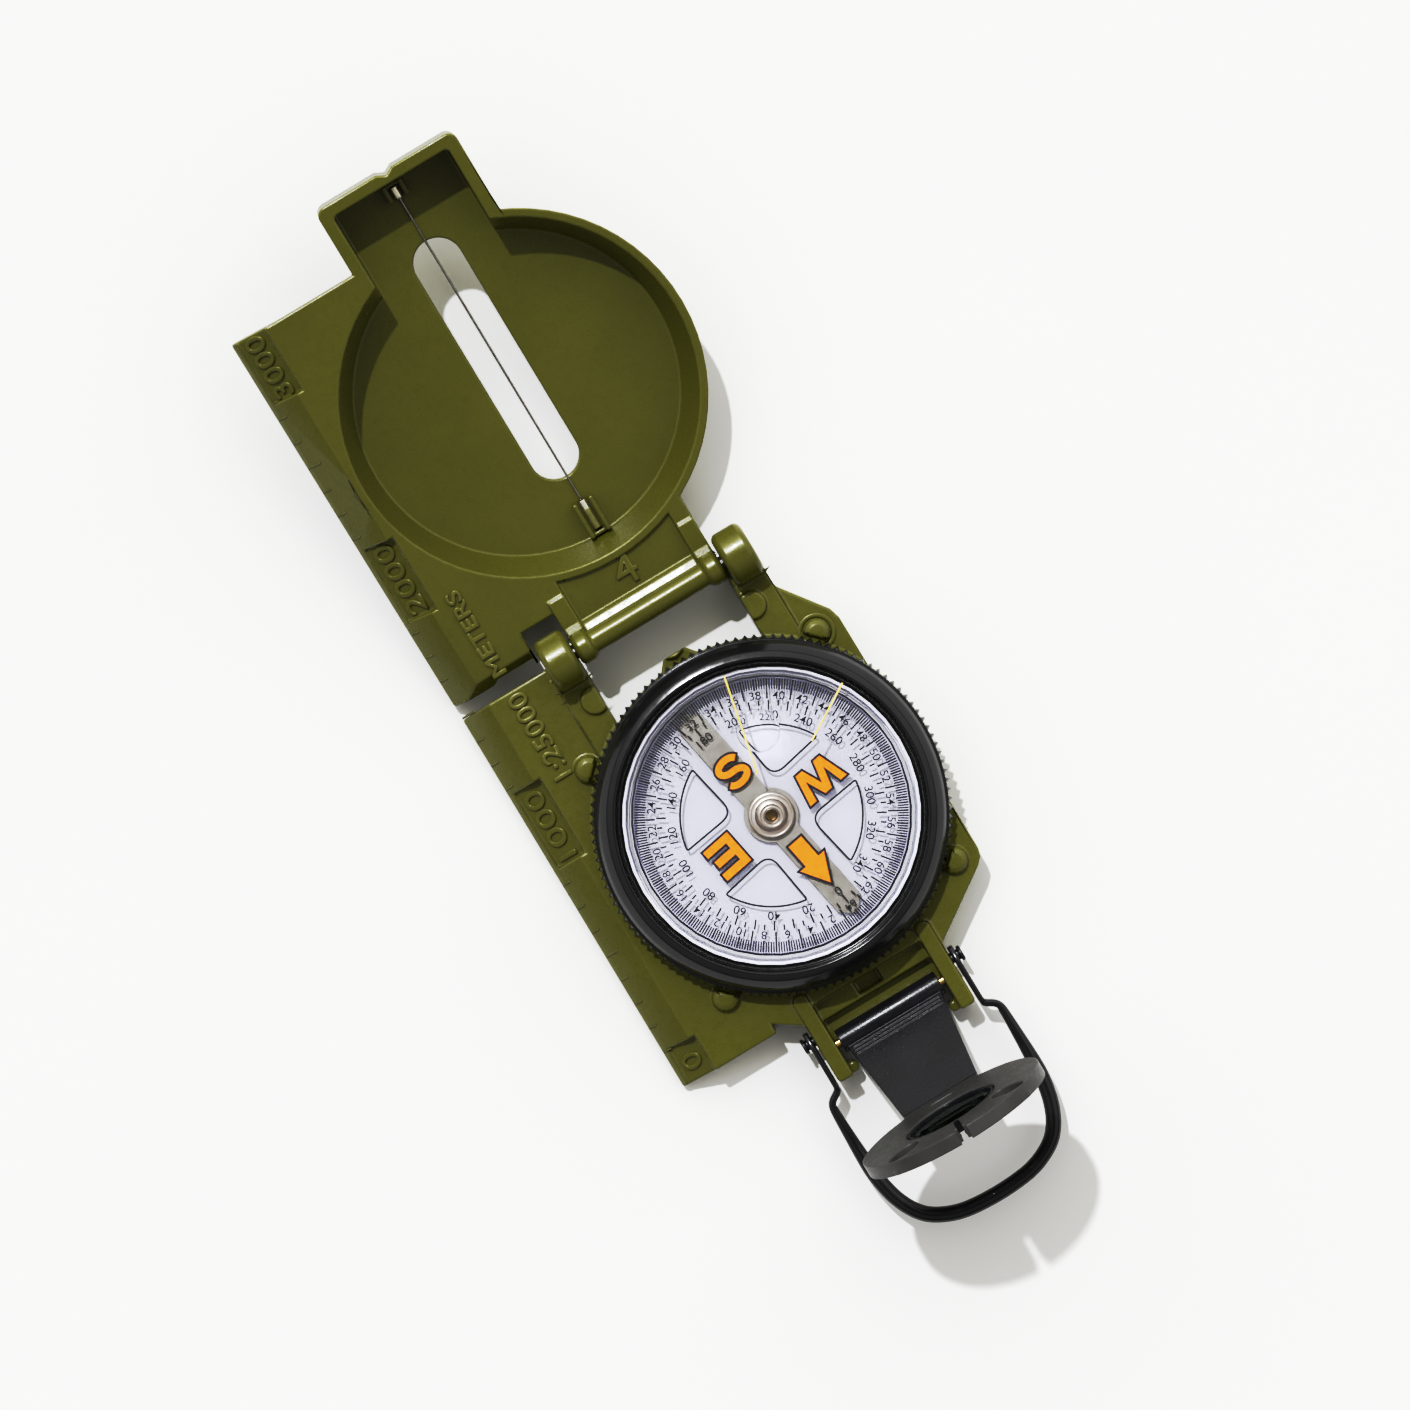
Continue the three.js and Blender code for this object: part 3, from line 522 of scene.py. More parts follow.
def shade_by_angle(degrees):
    """A geometry group that shades smooth wherever faces meet at less than an angle."""
    group = bpy.data.node_groups.new("shade_by_angle", "GeometryNodeTree")
    for side in ("INPUT", "OUTPUT"):
        group.interface.new_socket("Geometry", in_out=side, socket_type="NodeSocketGeometry")
    start = group.nodes.new("NodeGroupInput")
    bare = group.nodes.new("GeometryNodeRemoveAttribute")
    bare.inputs["Name"].default_value = "custom_normal"
    faces = group.nodes.new("GeometryNodeSetShadeSmooth")
    edges = group.nodes.new("GeometryNodeSetShadeSmooth")
    edges.domain = "EDGE"
    angle = group.nodes.new("GeometryNodeInputMeshEdgeAngle")
    gentle = group.nodes.new("FunctionNodeCompare")
    gentle.operation = "LESS_THAN"
    gentle.inputs[1].default_value = math.radians(degrees)
    end = group.nodes.new("NodeGroupOutput")
    links = group.links
    links.new(start.outputs[0], bare.inputs["Geometry"])
    links.new(bare.outputs[0], faces.inputs["Geometry"])
    links.new(faces.outputs[0], edges.inputs["Geometry"])
    links.new(angle.outputs["Unsigned Angle"], gentle.inputs[0])
    links.new(gentle.outputs[0], edges.inputs["Shade Smooth"])
    links.new(edges.outputs[0], end.inputs[0])
    return group


SMOOTH = shade_by_angle(35)
FLAT_FACED = shade_by_angle(13)  # for softened nodes: flat faces stay flat


def soften(item, bevel):
    """Rounded edges, smooth round faces and flat flat ones, without touching the mesh."""
    weld = item.modifiers.new("weld", "WELD")
    weld.merge_threshold = WELD * MM
    flat = item.modifiers.new("flat_faces", "DECIMATE")
    flat.decimate_type = "DISSOLVE"
    flat.angle_limit = math.radians(0.5)
    item.modifiers.new("triangles", "TRIANGULATE")
    if bevel:
        edge = item.modifiers.new("edges", "BEVEL")
        edge.width = bevel * MM
        edge.segments = 2
        edge.limit_method = "ANGLE"
        edge.angle_limit = SHARP
        edge.use_clamp_overlap = False
        edge.loop_slide = False
    smooth = item.modifiers.new("smooth", "NODES")
    smooth.node_group = FLAT_FACED


FINISHES = {
    "base_frame": (OLIVE, 0.34), "cover_lid": (OLIVE, 0.28),
    "wire_post_lower": (OLIVE, 0.22), "wire_post_upper": (OLIVE, 0.22),
    "base_bottom_plate": (SATIN_BLACK, 0.12), "loop_rivet_right": (SATIN_BLACK, 0.12),
    "loop_rivet_left": (SATIN_BLACK, 0.12), "lens_ring": (SATIN_BLACK, 0.05),
    "hinge_pin_right": (SATIN_BLACK, 0.15), "hinge_pin_left": (SATIN_BLACK, 0.15),
    "bezel_clip_ring": (STEEL, 0.05), "detent_spring": (STEEL, 0.04),
    "pivot_post": (STEEL, 0.0), "dial_hub": (HUB_STEEL, 0.04), "sighting_wire": (WIRE_STEEL, 0.0),
    "plate_screw_1": (STEEL, 0.05), "plate_screw_2": (STEEL, 0.05),
    "plate_screw_3": (STEEL, 0.05), "plate_screw_4": (STEEL, 0.05),
    "eyepiece_pin": (BRASS, 0.08), "hub_jewel": (BRASS, 0.0),
    "magnet_bar": (MAGNET, 0.06), "capsule_cup": (WHITE, 0.08), "dial_backing": (WHITE, 0.05),
    "capsule_gasket": (SHADE_LIFTED_RUBBER, 0.05), "capsule_window": (CLEAR, 0.1),
    "bezel_glass": (CLEAR, 0.15), "dial_card": (CARD, 0.04),
    "index_line_long": (YELLOW, 0.0), "index_line_short": (YELLOW, 0.0),
    "eyepiece_lens": (SHADE_TINTED_LENS, 0.0),
}

for node_name, (finish, bevel_width) in FINISHES.items():
    NODES[node_name].material_slots[0].material = finish
    soften(NODES[node_name], bevel_width)


# ---------- bezel: a glossy cone over a crown of pointed teeth ----------

BEZEL_TEETH = 120
BEZEL_STEPS = 4                  # facets across one tooth
TOOTH = 0.62                     # how far a tooth stands out
TOOTH_GASH = 0.12                # how much deeper the valley between two teeth is


def bezel():
    """The turning ring, in place of the plain CAD ring."""
    top = high("bezel_ring").z
    bottom = low("bezel_ring").z
    outer = high("bezel_ring").x
    root = outer - TOOTH
    cone = eased([(21.5, 9.2), (21.5, 11.5), (22.1, 11.5), (22.1, top - 0.12), (22.42, top),
                  (23.3, top - 0.30), (24.35, 11.35), (24.86, 10.2), (24.86, 9.72),
                  (root - 0.05, 9.72)], 0.22, 3, closed=False)
    knurl = [(root, 9.6), (root + 0.1, 9.5), (outer, 8.45), (root + 0.1, 7.3), (root, 7.1)]
    foot = [(root - 0.2, bottom), (23.1, bottom), (23.0, 7.2), (23.0, 8.9), (21.7, 9.0)]
    profile = [(p[0], p[1], 0.0) for p in cone]
    profile += [(r, z, 1.0) for r, z in knurl]
    profile += [(r, z, 0.0) for r, z in foot]
    count = BEZEL_TEETH * BEZEL_STEPS
    rings = []
    for radius, z, toothed in profile:
        ring = []
        for k in range(count):
            valley = abs((k % BEZEL_STEPS) / BEZEL_STEPS - 0.5) * 2
            r = radius - toothed * valley * (radius - root + TOOTH_GASH)
            ring.append(direction(360 * k / count) * r + Vector((0, 0, z)))
        rings.append(ring)
    mesh = finished(skin(rings, closed=True))
    made = piece("bezel_body", mesh, BEZEL_BLACK, "bezel")
    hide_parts("bezel_ring")
    by_angle = made.modifiers.new("smooth", "NODES")
    by_angle.node_group = SMOOTH


bezel()


# ---------- printing on the dial card ----------

MIL_TICKS = 320                  # one for each 20 mils
MIL_RIM = 19.5                   # radii of the scales, from the rim inwards
MIL_FOOT = 18.0
MIL_FOOT_TENTH = 17.85
MIL_FOOT_FIFTH = 16.6
DASH_RIM = 16.4
DASH_FOOT_TEN = 15.0
DASH_FOOT_FIVE = 15.6
LABELS_MILS = 17.1               # radii of the figures' middles
LABELS_DEGREES = 14.3
LABEL_MILS = 1.18                # heights of the figures
LABEL_DEGREES = 1.22
LABEL_WEIGHT = 0.002
WIDER = Matrix.Diagonal((1.06, 1, 1, 1))


def bars_mesh(bars, z):
    """Flat radial bars of (angle, inner radius, outer radius, width)."""
    shape = bmesh.new()
    for angle, inner, outer, width in bars:
        out = direction(angle)
        across = direction(angle + 90) * width / 2
        up = Vector((0, 0, z))
        corners = [out * inner + across, out * inner - across,
                   out * outer - across, out * outer + across]
        shape.faces.new([shape.verts.new(c + up) for c in corners])
    return finished(shape)


def dial_scales():
    """The mil scale at the rim and the dashes of the degree scale inside it."""
    bars = []
    for tick in range(MIL_TICKS):
        inner, width = MIL_FOOT, 0.185
        if tick % 10 == 0:
            inner, width = MIL_FOOT_TENTH, 0.26
        elif tick % 5 == 0:
            inner, width = MIL_FOOT_FIFTH, 0.24
        bars.append((tick * 360 / MIL_TICKS, inner, MIL_RIM, width))
    for degrees in range(0, 360, 5):
        inner = DASH_FOOT_TEN if degrees % 10 == 0 else DASH_FOOT_FIVE
        bars.append((degrees, inner, DASH_RIM, 0.23))
    piece("dial_ticks", bars_mesh(bars, CARD_TOP + INK), BLACK_INK, "dial", DIAL)


def on_dial(angle, radius):
    """Places a drawing at a dial angle with its top pointing out."""
    return (Matrix.Rotation(-math.radians(angle), 4, "Z")
            @ Matrix.Translation((0, radius, CARD_TOP + INK)))


def dial_figures():
    """Every second hundred mils, and every twenty degrees."""
    figures = []
    for hundreds in range(2, 65, 2):
        text = lettering(str(hundreds), LABEL_MILS, weight=LABEL_WEIGHT)
        figures.append((text, on_dial(hundreds * 360 / 64, LABELS_MILS) @ WIDER))
    for degrees in range(0, 360, 20):
        text = lettering(str(degrees), LABEL_DEGREES, weight=LABEL_WEIGHT)
        figures.append((text, on_dial(degrees, LABELS_DEGREES) @ WIDER))
    piece("dial_figures", joined(figures), BLACK_INK, "dial", DIAL)


def dial_windows():
    """Four rounded windows outlined between the letters."""
    inner, outer, spread, width, rounding = 5.5, 13.0, 26.5, 0.27, 2.1
    middle = Vector((0, inner))
    corners = [direction(-spread).xy * outer, direction(spread).xy * outer]
    bow = [direction(-spread + 2 * spread * k / 12).xy * outer for k in range(1, 12)]
    path = eased([middle, corners[0]] + bow + [corners[1]], rounding, 8)
    line = ribbon(path, width, CARD_TOP + INK)
    quarter = [(line, Matrix.Rotation(math.radians(45 + 90 * k), 4, "Z")) for k in range(4)]
    piece("dial_windows", joined(quarter), BLACK_INK, "dial", DIAL)


def letter_e(width, height, stroke):
    """Outline of an E round its own centre."""
    x, y, h = width / 2, height / 2, stroke / 2
    return [(-x, -y), (x, -y), (x, -y + stroke), (-x + stroke, -y + stroke),
            (-x + stroke, -h), (x - 0.35, -h), (x - 0.35, h), (-x + stroke, h),
            (-x + stroke, y - stroke), (x, y - stroke), (x, y), (-x, y)]


def letter_w(width, height, stroke):
    """Outline of a W round its own centre."""
    x, y, s = width / 2, height / 2, stroke * 1.12
    foot = x * 0.48
    half = s * 0.52
    return [(-x, y), (-foot - half, -y), (-foot + half, -y), (0, y - height * 0.32),
            (foot - half, -y), (foot + half, -y), (x, y), (x - s, y),
            (foot, -y + height * 0.34), (half, y), (-half, y), (-foot, -y + height * 0.34),
            (-x + s, y)]


def letter_s(width, height, stroke):
    """Outline of an S, as a band along two bows that meet in the middle."""
    x = width / 2 - stroke / 2
    bow = (height - stroke) / 4
    upper = [Vector((x * math.cos(math.radians(a)), bow + bow * math.sin(math.radians(a))))
             for a in range(18, 271, 14)]
    lower = [Vector((-p.x, -p.y)) for p in reversed(upper)]
    spine = upper[:-1] + [Vector((0, 0))] + lower[1:]
    sides = ([], [])
    for i, point in enumerate(spine):
        along = (spine[min(i + 1, len(spine) - 1)] - spine[max(i - 1, 0)]).normalized()
        across = Vector((-along.y, along.x)) * stroke / 2
        sides[0].append(point + across)
        sides[1].append(point - across)
    return sides[0] + sides[1][::-1]


def arrow(tail, head, tip, shaft, barbs):
    """Outline of an arrow along +Y, given by radii and widths."""
    return [(-shaft / 2, tail), (shaft / 2, tail), (shaft / 2, head), (barbs / 2, head),
            (0, tip), (-barbs / 2, head), (-shaft / 2, head)]


def dial_letters():
    """E, S, W and the north arrow: orange, edged in black. All stand upright to north."""
    edge, thickness = 0.30, 0.03
    # Each is an outline and its middle, in the dial's own axes: x to its east, y to its north.
    marks = {
        "east": (letter_e(4.55, 5.3, 1.15), (8.6, 0.2)),
        "west": (letter_w(6.9, 4.6, 1.05), (-8.45, 0.45)),
        "south": (letter_s(4.3, 4.9, 1.0), (0, -8.3)),
        "north": (arrow(5.0, 8.7, 12.75, 2.4, 4.5), (0, 0)),
    }
    for name, (outline, (x, y)) in marks.items():
        place = DIAL @ Matrix.Translation((x, y, CARD_TOP))
        black = plate([outline], INK, INK + thickness, grow=edge)
        orange = plate([outline], INK + thickness, INK + 2 * thickness)
        piece(f"dial_{name}_edge", black, BLACK_INK, "dial", place)
        piece(f"dial_{name}", orange, ORANGE_INK, "dial", place)


def hub():
    """The turned hub: bright rings stepping up to the jewel, in place of the plain CAD one."""
    top, foot = high("dial_hub").z, low("dial_hub").z
    bore, stem, flange = 0.9, 1.9, 3.3
    steps = [(flange, 0.03), (flange, 0.2), (2.95, 0.34), (2.9, 0.22), (2.35, 0.3), (2.3, 0.55)]
    crown = [(1.6, top - 0.12), (1.55, top - 0.3), (1.2, top - 0.3), (0.95, top), (bore, top)]
    profile = eased([(bore, foot), (stem, foot), (stem, CARD_TOP + 0.03)]
                    + [(radius, CARD_TOP + rise) for radius, rise in steps] + crown, 0.05, 2)
    made = piece("hub_rings", turned(profile, 72, closed=True), HUB_STEEL, "dial")
    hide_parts("dial_hub")


hub()
dial_scales()
dial_figures()
dial_windows()
dial_letters()


# ---------- capsule: the bubble under the window ----------


BUBBLE_PLACE = (4.6, 11.3, 0)


def bubble():
    """The air left in the damping liquid, flattened against the window."""
    ceiling = low("capsule_window").z - 0.04
    radius, depth, steps = 3.1, 0.9, 12
    profile = [(0, ceiling)]
    for k in range(steps + 1):
        t = k / steps
        profile.append((radius * (1 - t ** 4) ** 0.5, ceiling - depth * t))
    piece("capsule_bubble", turned(profile, 64), BUBBLE, "base",
          Matrix.Translation(BUBBLE_PLACE))


bubble()


# ---------- ruler and moulded lettering ----------


def ruler_frame(top):
    """A drawing plane on the ruler's bevel: x runs along +Y, y runs out and down to its edge."""
    return lying((RULER_EDGE, 0, top - RULER_DROP), (0, 1, 0), (-1, 0, -1))


def pocket_frame(top, y):
    """A drawing plane on the floor of a figure pocket, centred at y."""
    run = POCKET["x1"] - POCKET["x0"]
    floor = top - RULER_DROP + (POCKET["x0"] - RULER_EDGE) - POCKET["depth"]
    middle = ((POCKET["x0"] + POCKET["x1"]) / 2, y, floor + POCKET["rise"] / 2)
    return lying(middle, (0, 1, 0), (-run, 0, -POCKET["rise"]))


def graduation(y, length):
    """One raised tick with sloping flanks, lying on the ruler's bevel from its edge inwards."""
    half, rise, start, slope, sunk = 0.17, 0.13, -0.15, 0.1, 0.02
    base = [(y - half, -length), (y + half, -length), (y + half, start), (y - half, start)]
    top = [(y - half / 2, -length + slope), (y + half / 2, -length + slope),
           (y + half / 2, start - slope), (y - half / 2, start - slope)]
    shape = bmesh.new()
    low_row = [shape.verts.new((*p, -sunk)) for p in base]
    high_row = [shape.verts.new((*p, rise)) for p in top]
    shape.faces.new(low_row)
    shape.faces.new(high_row)
    for k in range(4):
        n = (k + 1) % 4
        shape.faces.new([low_row[k], low_row[n], high_row[n], high_row[k]])
    return finished(shape, smooth=False)


def graduations(name, first, top, body, frame_of_body, pockets):
    """The ticks of one wing, leaving out those that fall in its figure pockets."""
    ticks = []
    for k in range(TICKS):
        y = first + k * GRADUATION
        if not any(y0 < y < y1 for y0, y1 in pockets):
            length = 3.0 if k % 5 == 0 else 2.0
            ticks.append((graduation(y, length), Matrix()))
    piece(name, joined(ticks), OLIVE, body, frame_of_body @ ruler_frame(top))


def figures(name, text, size, place, body, finish=OLIVE, depth=0.36):
    """Raised lettering of a given (height, width), cast with the body."""
    mesh = lettering(text, *size, depth, weight=-0.012)
    piece(name, mesh, finish, body, place)


CASE = Matrix()
POCKETS_CASE = [(9.1, 21.4), (-30, -21.4)]        # the pockets' spans in y
POCKETS_COVER = [(15.1, 27.1), (51.5, 61.6)]
TICKS = 16                       # on each wing, before its pockets take theirs
FIRST_CASE = -25.4               # y of each wing's first tick
FIRST_COVER = 1.2
DIGITS = 3.3                     # height of the ruler's figures

graduations("ruler_ticks_case", FIRST_CASE, CASE_TOP, "base", CASE, POCKETS_CASE)
graduations("ruler_ticks_cover", FIRST_COVER, COVER_RIM, "cover", COVER, POCKETS_COVER)

figures("ruler_figure_0", "0", (DIGITS, 2.5), pocket_frame(CASE_TOP, -24.4), "base")
figures("ruler_figure_1000", "1000", (DIGITS, 11.0), pocket_frame(CASE_TOP, 15.1), "base")
figures("ruler_figure_2000", "2000", (DIGITS, 11.2), COVER @ pocket_frame(COVER_RIM, 21.1),
        "cover")
figures("ruler_figure_3000", "3000", (DIGITS, 9.6), COVER @ pocket_frame(COVER_RIM, 56.5),
        "cover")


def on_wing(x, y, z):
    """Places lettering flat on a wing, with its top towards the ruler's edge."""
    return lying((x, y, z), (0, 1, 0), (-1, 0, 0))


figures("ruler_scale", "1:25000", (2.9, 13.9), on_wing(-22.55, 26.75, CASE_TOP),
        "base", RUBBED_HIGHLIT_OLIVE, 0.4)
figures("ruler_unit", "METERS", (2.3, 14.0), COVER @ on_wing(-22.75, 9.2, COVER_RIM),
        "cover", RUBBED_HIGHLIT_OLIVE, 0.4)
figures("mould_figure", "4", (4.6, 3.4), COVER @ Matrix.Translation((0.2, 6.0, HINGE_PLATE)),
        "cover", RUBBED_HIGHLIT_OLIVE, 0.4)


BOSS_PLACE = (19, 19, CASE_TOP)


def boss_ring():
    """The raised seat round one of the screw bosses."""
    inner, outer, sunk, rise = 2.15, 2.75, -0.05, 0.32
    profile = eased([(inner, sunk), (outer, sunk), (outer, rise), (inner, rise)], 0.12, 3)
    piece("boss_seat", turned(profile, 40, closed=True), OLIVE, "base",
          Matrix.Translation(BOSS_PLACE))


boss_ring()


# ---------- eyepiece: a rolled barrel, a tapering arm and a bent disc ----------

EYE_CREASE = 5.95                # half width where the disc bends off the arm
DISC_RADIUS = 14
DISC_CENTRE = 14.4               # from the crease
DISC_HALF = 1.0                  # half thickness
LENS_HOLE = 7
RIM_CUT = 4                      # degrees from the sight slot at which rim and hole stop
HOLE_CUT = 3.3
NOTCH_WIDE = 0.8                 # half widths of the sight slot at the rim and further in
NOTCH_FINE = 0.4
NOTCH_MOUTH = 1.6                # how far in the wide part goes
OVAL_X = 8.1                     # places, half sizes and tilt of the hollows beside the slot
OVAL_Y = 21.6
OVAL_SHORT = 1.9
OVAL_LONG = 2.9
OVAL_TILT = 0.75
OVAL_FACETS = 36
HOLLOW_RIM = 0.35                # how much larger the hollows' floors are
HOLLOW_FLOOR = 0.2               # above the disc's middle
NECK_SLOT_X = 1.2                # middles of the neck slot's round ends
NECK_SLOT_Y = 3.6
NECK_SLOT_RADIUS = 0.8
BEND_RADIUS = 0.98
BARREL_BORE = 0.95
BARREL_RADIUS = 1.8
BARREL_HALF = 8.3
ARM_START = 0.6                  # from the pin, inside the barrel
ARM_ROOT = 7.85                  # half width of the arm at the barrel
ARM_THICK = 1.1
RIB_HALF = 7.3
RIB_RADIUS = 0.14
RIB_PLACES = (2.3, 2.9, 3.5)     # along the arm, from the barrel's middle
EYE_BEVEL = 0.14


def eyepiece_disc():
    """Outlines of the disc and its holes, with its neck at the origin."""
    top = DISC_CENTRE + DISC_RADIUS
    spread = math.degrees(math.asin(EYE_CREASE / DISC_RADIUS))
    rim = arc((0, DISC_CENTRE), DISC_RADIUS, -90 + spread, 90 - RIM_CUT, 60)
    rim = [Vector((EYE_CREASE, -0.1))] + rim
    notch = [Vector((NOTCH_WIDE, top)), Vector((NOTCH_WIDE, top - NOTCH_MOUTH)),
             Vector((NOTCH_FINE, top - NOTCH_MOUTH)),
             Vector((NOTCH_FINE, DISC_CENTRE + LENS_HOLE - 0.4))]
    hole = arc((0, DISC_CENTRE), LENS_HOLE, 90 - HOLE_CUT, -270 + HOLE_CUT, 64)
    rim = [p for p in rim if not (p.x < NOTCH_WIDE + 0.05 and p.y > DISC_CENTRE)]
    right = rim + notch
    left = [Vector((-p.x, p.y)) for p in reversed(right)]
    slot = (arc((NECK_SLOT_X, NECK_SLOT_Y), NECK_SLOT_RADIUS, -90, 90, 8)
            + arc((-NECK_SLOT_X, NECK_SLOT_Y), NECK_SLOT_RADIUS, 90, 270, 8))
    return [right + hole + left, oval(-1), oval(1), slot]


def oval(side, grow=0.0):
    """Outline of the hollow on one side of the sight slot."""
    tilt = Matrix.Rotation(-side * OVAL_TILT, 2)
    outline = []
    for k in range(OVAL_FACETS):
        a = math.tau * k / OVAL_FACETS
        spoke = Vector(((OVAL_SHORT + grow) * math.cos(a), (OVAL_LONG + grow) * math.sin(a)))
        outline.append(Vector((side * OVAL_X, OVAL_Y)) + tilt @ spoke)
    return outline


def eyepiece():
    """The sheet-metal bracket, in place of the plain CAD one."""
    floors = [(plate([oval(side, HOLLOW_RIM)], HOLLOW_FLOOR, DISC_HALF), Matrix())
              for side in (-1, 1)]
    disc = joined([(plate(eyepiece_disc(), -DISC_HALF, DISC_HALF), Matrix())] + floors)
    made = piece("eyepiece_disc", disc, WORN_BLACK, "eyepiece", EYE_DISC)
    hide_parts("eyepiece_bracket")
    soften(made, EYE_BEVEL)
    arm = plate([[(-ARM_ROOT, ARM_START), (ARM_ROOT, ARM_START), (EYE_CREASE, EYE_ARM),
                  (-EYE_CREASE, EYE_ARM)]], -ARM_THICK / 2, ARM_THICK / 2)
    across = Matrix.Rotation(math.pi / 2, 4, "Y")
    bend = turned(eased([(0, -EYE_CREASE), (BEND_RADIUS, -EYE_CREASE),
                         (BEND_RADIUS, EYE_CREASE), (0, EYE_CREASE)], 0.1, 3, closed=False), 32)
    barrel = turned(eased([(BARREL_BORE, -BARREL_HALF), (BARREL_RADIUS, -BARREL_HALF),
                           (BARREL_RADIUS, BARREL_HALF), (BARREL_BORE, BARREL_HALF)], 0.22, 4),
                    64, closed=True)
    rib = turned(eased([(0, -RIB_HALF), (RIB_RADIUS, -RIB_HALF), (RIB_RADIUS, RIB_HALF),
                        (0, RIB_HALF)], 0.06, 2, closed=False), 12)
    parts = [(arm, Matrix()), (barrel, across),
             (bend, Matrix.Translation((0, EYE_ARM, 0)) @ across)]
    parts += [(rib, Matrix.Translation((0, y, side * ARM_THICK / 2)) @ across)
              for y in RIB_PLACES for side in (-1, 1)]
    made = piece("eyepiece_body", joined(parts), SATIN_BLACK, "eyepiece", EYEPIECE)
    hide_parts("eyepiece_bracket")
    soften(made, EYE_BEVEL)


eyepiece()


# ---------- thumb loop: a wire bow with flattened, joggled arms ----------


ARM_END = -7.5                   # y where the flattened arm starts to turn into round wire
WIRE_START = -9.5
WIRE_RUN = 11                    # over which the wire then grows round
PATH_PASSES = 8                  # of smoothing
SIZE_PASSES = 4


def loop_path():
    """The wire's middle line from one pivot eye to the other, with the pivot at y = 0."""
    half = [(12.1, 1.5), (12.1, -7.0), (12.25, -7.9), (13.55, -8.6), (14.1, -9.4),
            (14.1, -16.0), (14.0, -21.0), (13.1, -25.6), (10.9, -29.6), (6.3, -31.9), (0, -32.4)]
    points = half + [(-x, y) for x, y in reversed(half[:-1])]
    eased_path = eased(points, 3.2, 8, closed=False)
    for _ in range(PATH_PASSES):
        eased_path = ([eased_path[0]]
                      + [(a + b * 2 + c) / 4 for a, b, c in
                         zip(eased_path, eased_path[1:], eased_path[2:])]
                      + [eased_path[-1]])
    return eased_path


def loop_section(y):
    """Half width across the arm, half height and squareness of the section at a place."""
    if y > ARM_END:
        return 0.4, 1.45, 5.0
    if y > WIRE_START:
        return 0.55, 1.1, 3.2
    swell = min(1.0, (WIRE_START - y) / WIRE_RUN)
    return 0.62 + 0.53 * swell, 1.02 + 0.13 * swell, 2.6 - 0.6 * swell


def superellipse(a, b, power, facets):
    """Points round a section that runs from an ellipse to a rounded bar."""
    points = []
    for k in range(facets):
        turn = math.tau * k / facets
        c, s = math.cos(turn), math.sin(turn)
        points.append((math.copysign(abs(c) ** (2 / power), c) * a,
                       math.copysign(abs(s) ** (2 / power), s) * b))
    return points


def thumb_loop():
    """The loop, in place of the plain CAD one."""
    path = loop_path()
    sizes = [Vector(loop_section(p.y)) for p in path]
    for _ in range(SIZE_PASSES):
        sizes = [sizes[0]] + [(a + b * 2 + c) / 4 for a, b, c in
                              zip(sizes, sizes[1:], sizes[2:])] + [sizes[-1]]
    rings = []
    for i, (point, size) in enumerate(zip(path, sizes)):
        along = (path[min(i + 1, len(path) - 1)] - path[max(i - 1, 0)]).normalized()
        across = Vector((-along.y, along.x, 0))
        rings.append([Vector((*point, 0)) + across * a + Vector((0, 0, b))
                      for a, b in superellipse(size[0], size[1], size[2], 24)])
    for end in (0, -1):
        middle = sum(rings[end], Vector()) / len(rings[end])
        small = [middle + (p - middle) * 0.82 + Vector((0, 0.12, 0)) for p in rings[end]]
        cap = [small, [middle + Vector((0, 0.16, 0))]]
        rings = cap[::-1] + rings if end == 0 else rings + cap
    made = piece("loop_wire", finished(skin(rings)), BEZEL_BLACK, "loop", LOOP)
    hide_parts("thumb_loop")


thumb_loop()


# ---------- floor, light and camera ----------


FLOOR_GAP = 0.02                 # keeps the floor off the case's underside


def floor():
    """A wide pale table top."""
    shape = bmesh.new()
    bmesh.ops.create_grid(shape, x_segments=8, y_segments=8, size=2.5)
    mesh = bpy.data.meshes.new("table")
    shape.to_mesh(mesh)
    shape.free()
    material, tree = new_material("table_top")
    tone = ranged(tree, noise(tree, 60, 3), 0.3, 0.7, 0.0, 1.0)
    colour = mixed(tree, tone, shade(0.778, 0.779, 0.777), shade(0.783, 0.784, 0.782))
    surface(tree, {"Base Color": colour, "Roughness": 0.9, "Specular IOR Level": 0.1})
    mesh.materials.append(material)
    table = bpy.data.objects.new("table", mesh)
    bpy.context.collection.objects.link(table)
    table.location.z = CAD_BOX[0].z - FLOOR_GAP * MM


KEY_HEIGHT = 58                  # degrees above the table
CAMERA_TURN = 31.07              # degrees clockwise, which lays the compass across the frame
CAMERA_HEIGHT = 600
AIM_Y = 18.3                     # the point under the camera


def key_light():
    """The window-like key, from past the cover's end."""
    lamp = bpy.data.lights.new("key", "SUN")
    lamp.energy = 1.83
    lamp.color = (0.985, 0.995, 1.03)
    lamp.angle = math.radians(1.6)
    holder = bpy.data.objects.new("key", lamp)
    holder.rotation_euler = (-math.radians(90 - KEY_HEIGHT), 0, 0)
    bpy.context.collection.objects.link(holder)


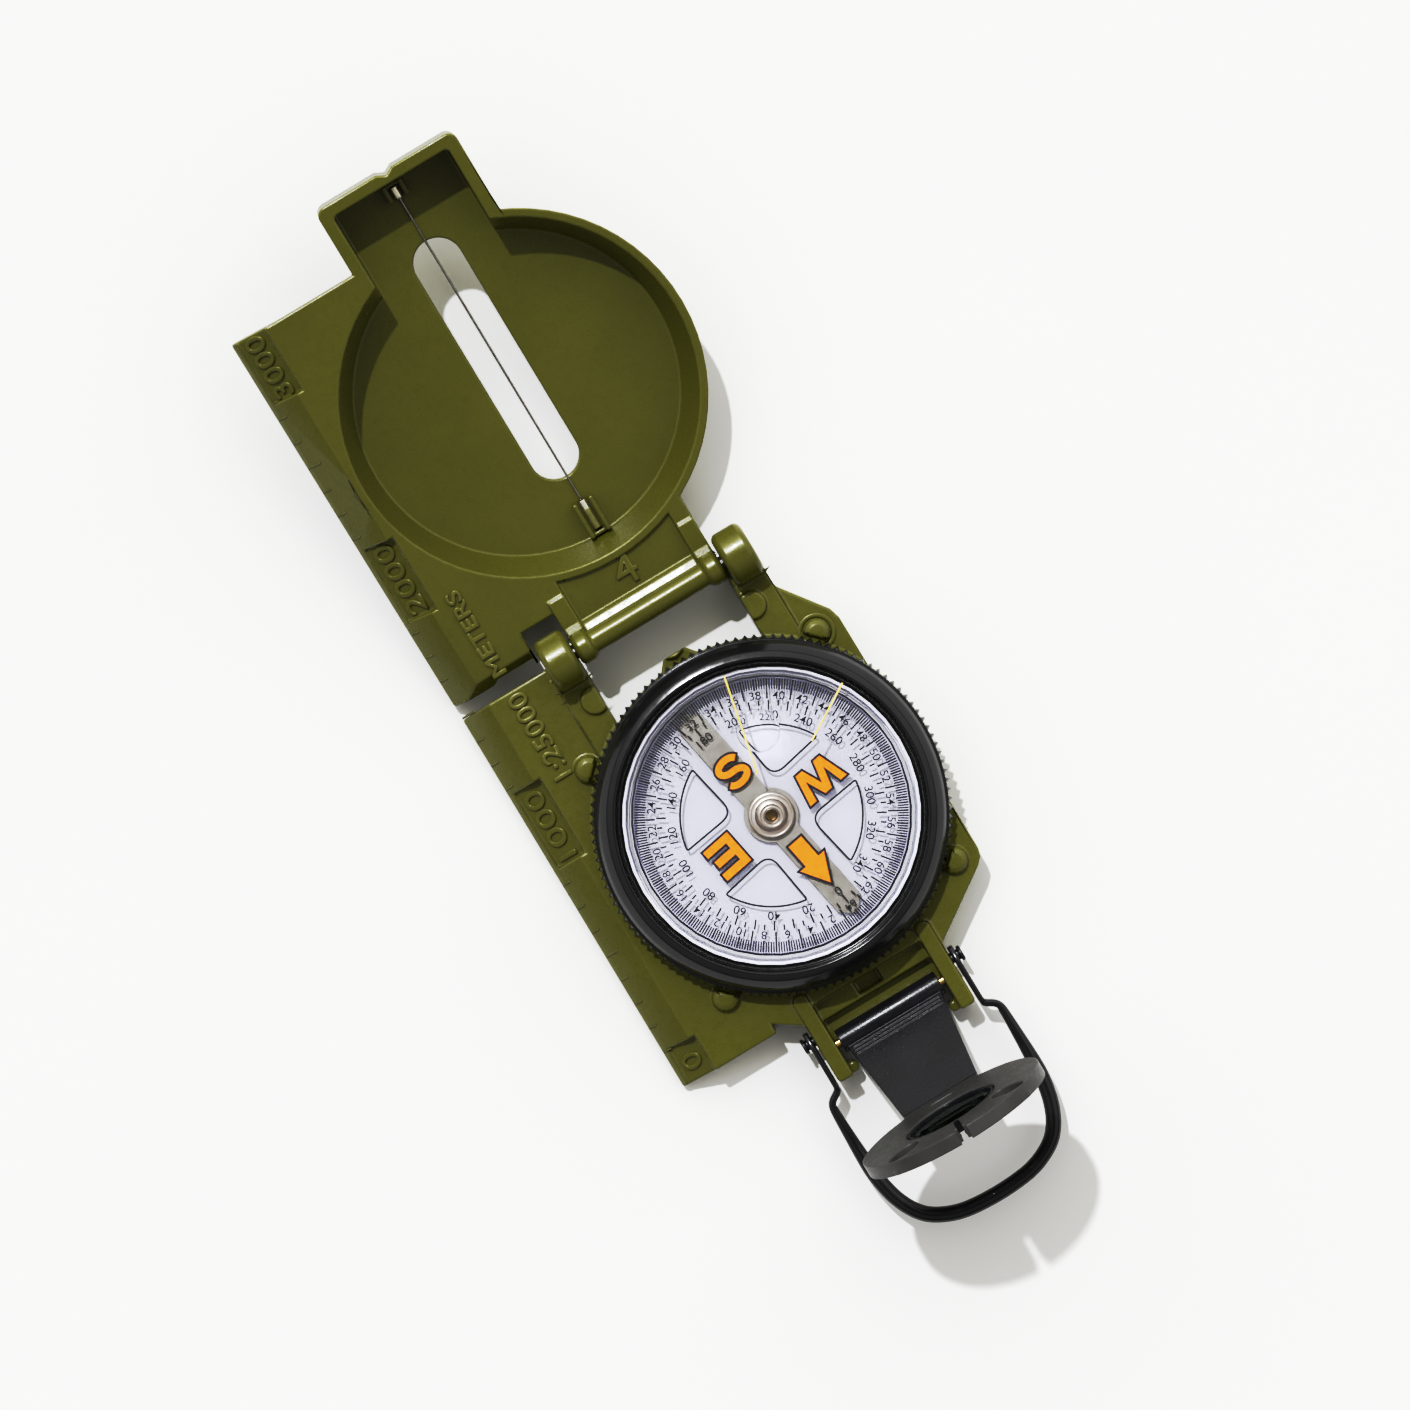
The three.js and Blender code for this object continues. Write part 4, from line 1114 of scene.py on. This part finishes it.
def room():
    """Soft light from above, brightest past the cover, with a dark ceiling round the camera."""
    world = bpy.data.worlds.new("room")
    world.use_nodes = True
    tree = world.node_tree
    tree.nodes.clear()
    place = node(tree, "TexCoord").outputs["Generated"]
    split = node(tree, "SeparateXYZ", {0: place})
    overhead = product(tree, ranged(tree, split.outputs["Z"], 0.88, 0.97, 1.0, 0.15),
                       ranged(tree, split.outputs["Z"], 0.10, 0.50, 0.12, 1.30))
    ahead = ranged(tree, split.outputs["Y"], -1.0, 1.0, 0.16, 1.00)
    aside = ranged(tree, split.outputs["X"], -1.0, 1.0, 0.50, 1.50)
    strength = product(tree, overhead, product(tree, ahead, aside))
    back = node(tree, "Background", {"Color": shade(1.0, 0.985, 0.945), "Strength": strength})
    seen = node(tree, "Background", {"Color": shade(0.80, 0.80, 0.80), "Strength": 1.0})
    eye = node(tree, "LightPath").outputs["Is Camera Ray"]
    mix = node(tree, "MixShader", {0: eye, 1: back.outputs[0], 2: seen.outputs[0]})
    node(tree, "OutputWorld", {"Surface": mix.outputs[0]})
    bpy.context.scene.world = world


TONES = [(0.0, 0.0), (0.05, 0.030), (0.12, 0.098), (0.28, 0.47), (0.80, 0.925), (1.0, 1.0)]


def print_tones():
    """A photograph's tone curve: firm shadows and an open table."""
    view = bpy.context.scene.view_settings
    view.view_transform = "Standard"
    view.use_curve_mapping = True
    curve = view.curve_mapping.curves[3]
    for point, tone in zip((curve.points[0], curve.points[-1]), (TONES[0], TONES[-1])):
        point.location = tone
    for tone in TONES[1:-1]:
        curve.points.new(*tone)
    view.curve_mapping.update()


def camera():
    """Straight down over the table."""
    data = bpy.data.cameras.new("camera")
    data.sensor_width = 36
    data.lens = 106.2
    data.clip_start = 0.01
    data.clip_end = 20
    holder = bpy.data.objects.new("camera", data)
    holder.location = (0, AIM_Y * MM, CAMERA_HEIGHT * MM)
    holder.rotation_euler = (0, 0, -math.radians(CAMERA_TURN))
    bpy.context.collection.objects.link(holder)
    bpy.context.scene.camera = holder


floor()
key_light()
room()
camera()
print_tones()
bpy.context.scene.cycles.transparent_max_bounces = 32
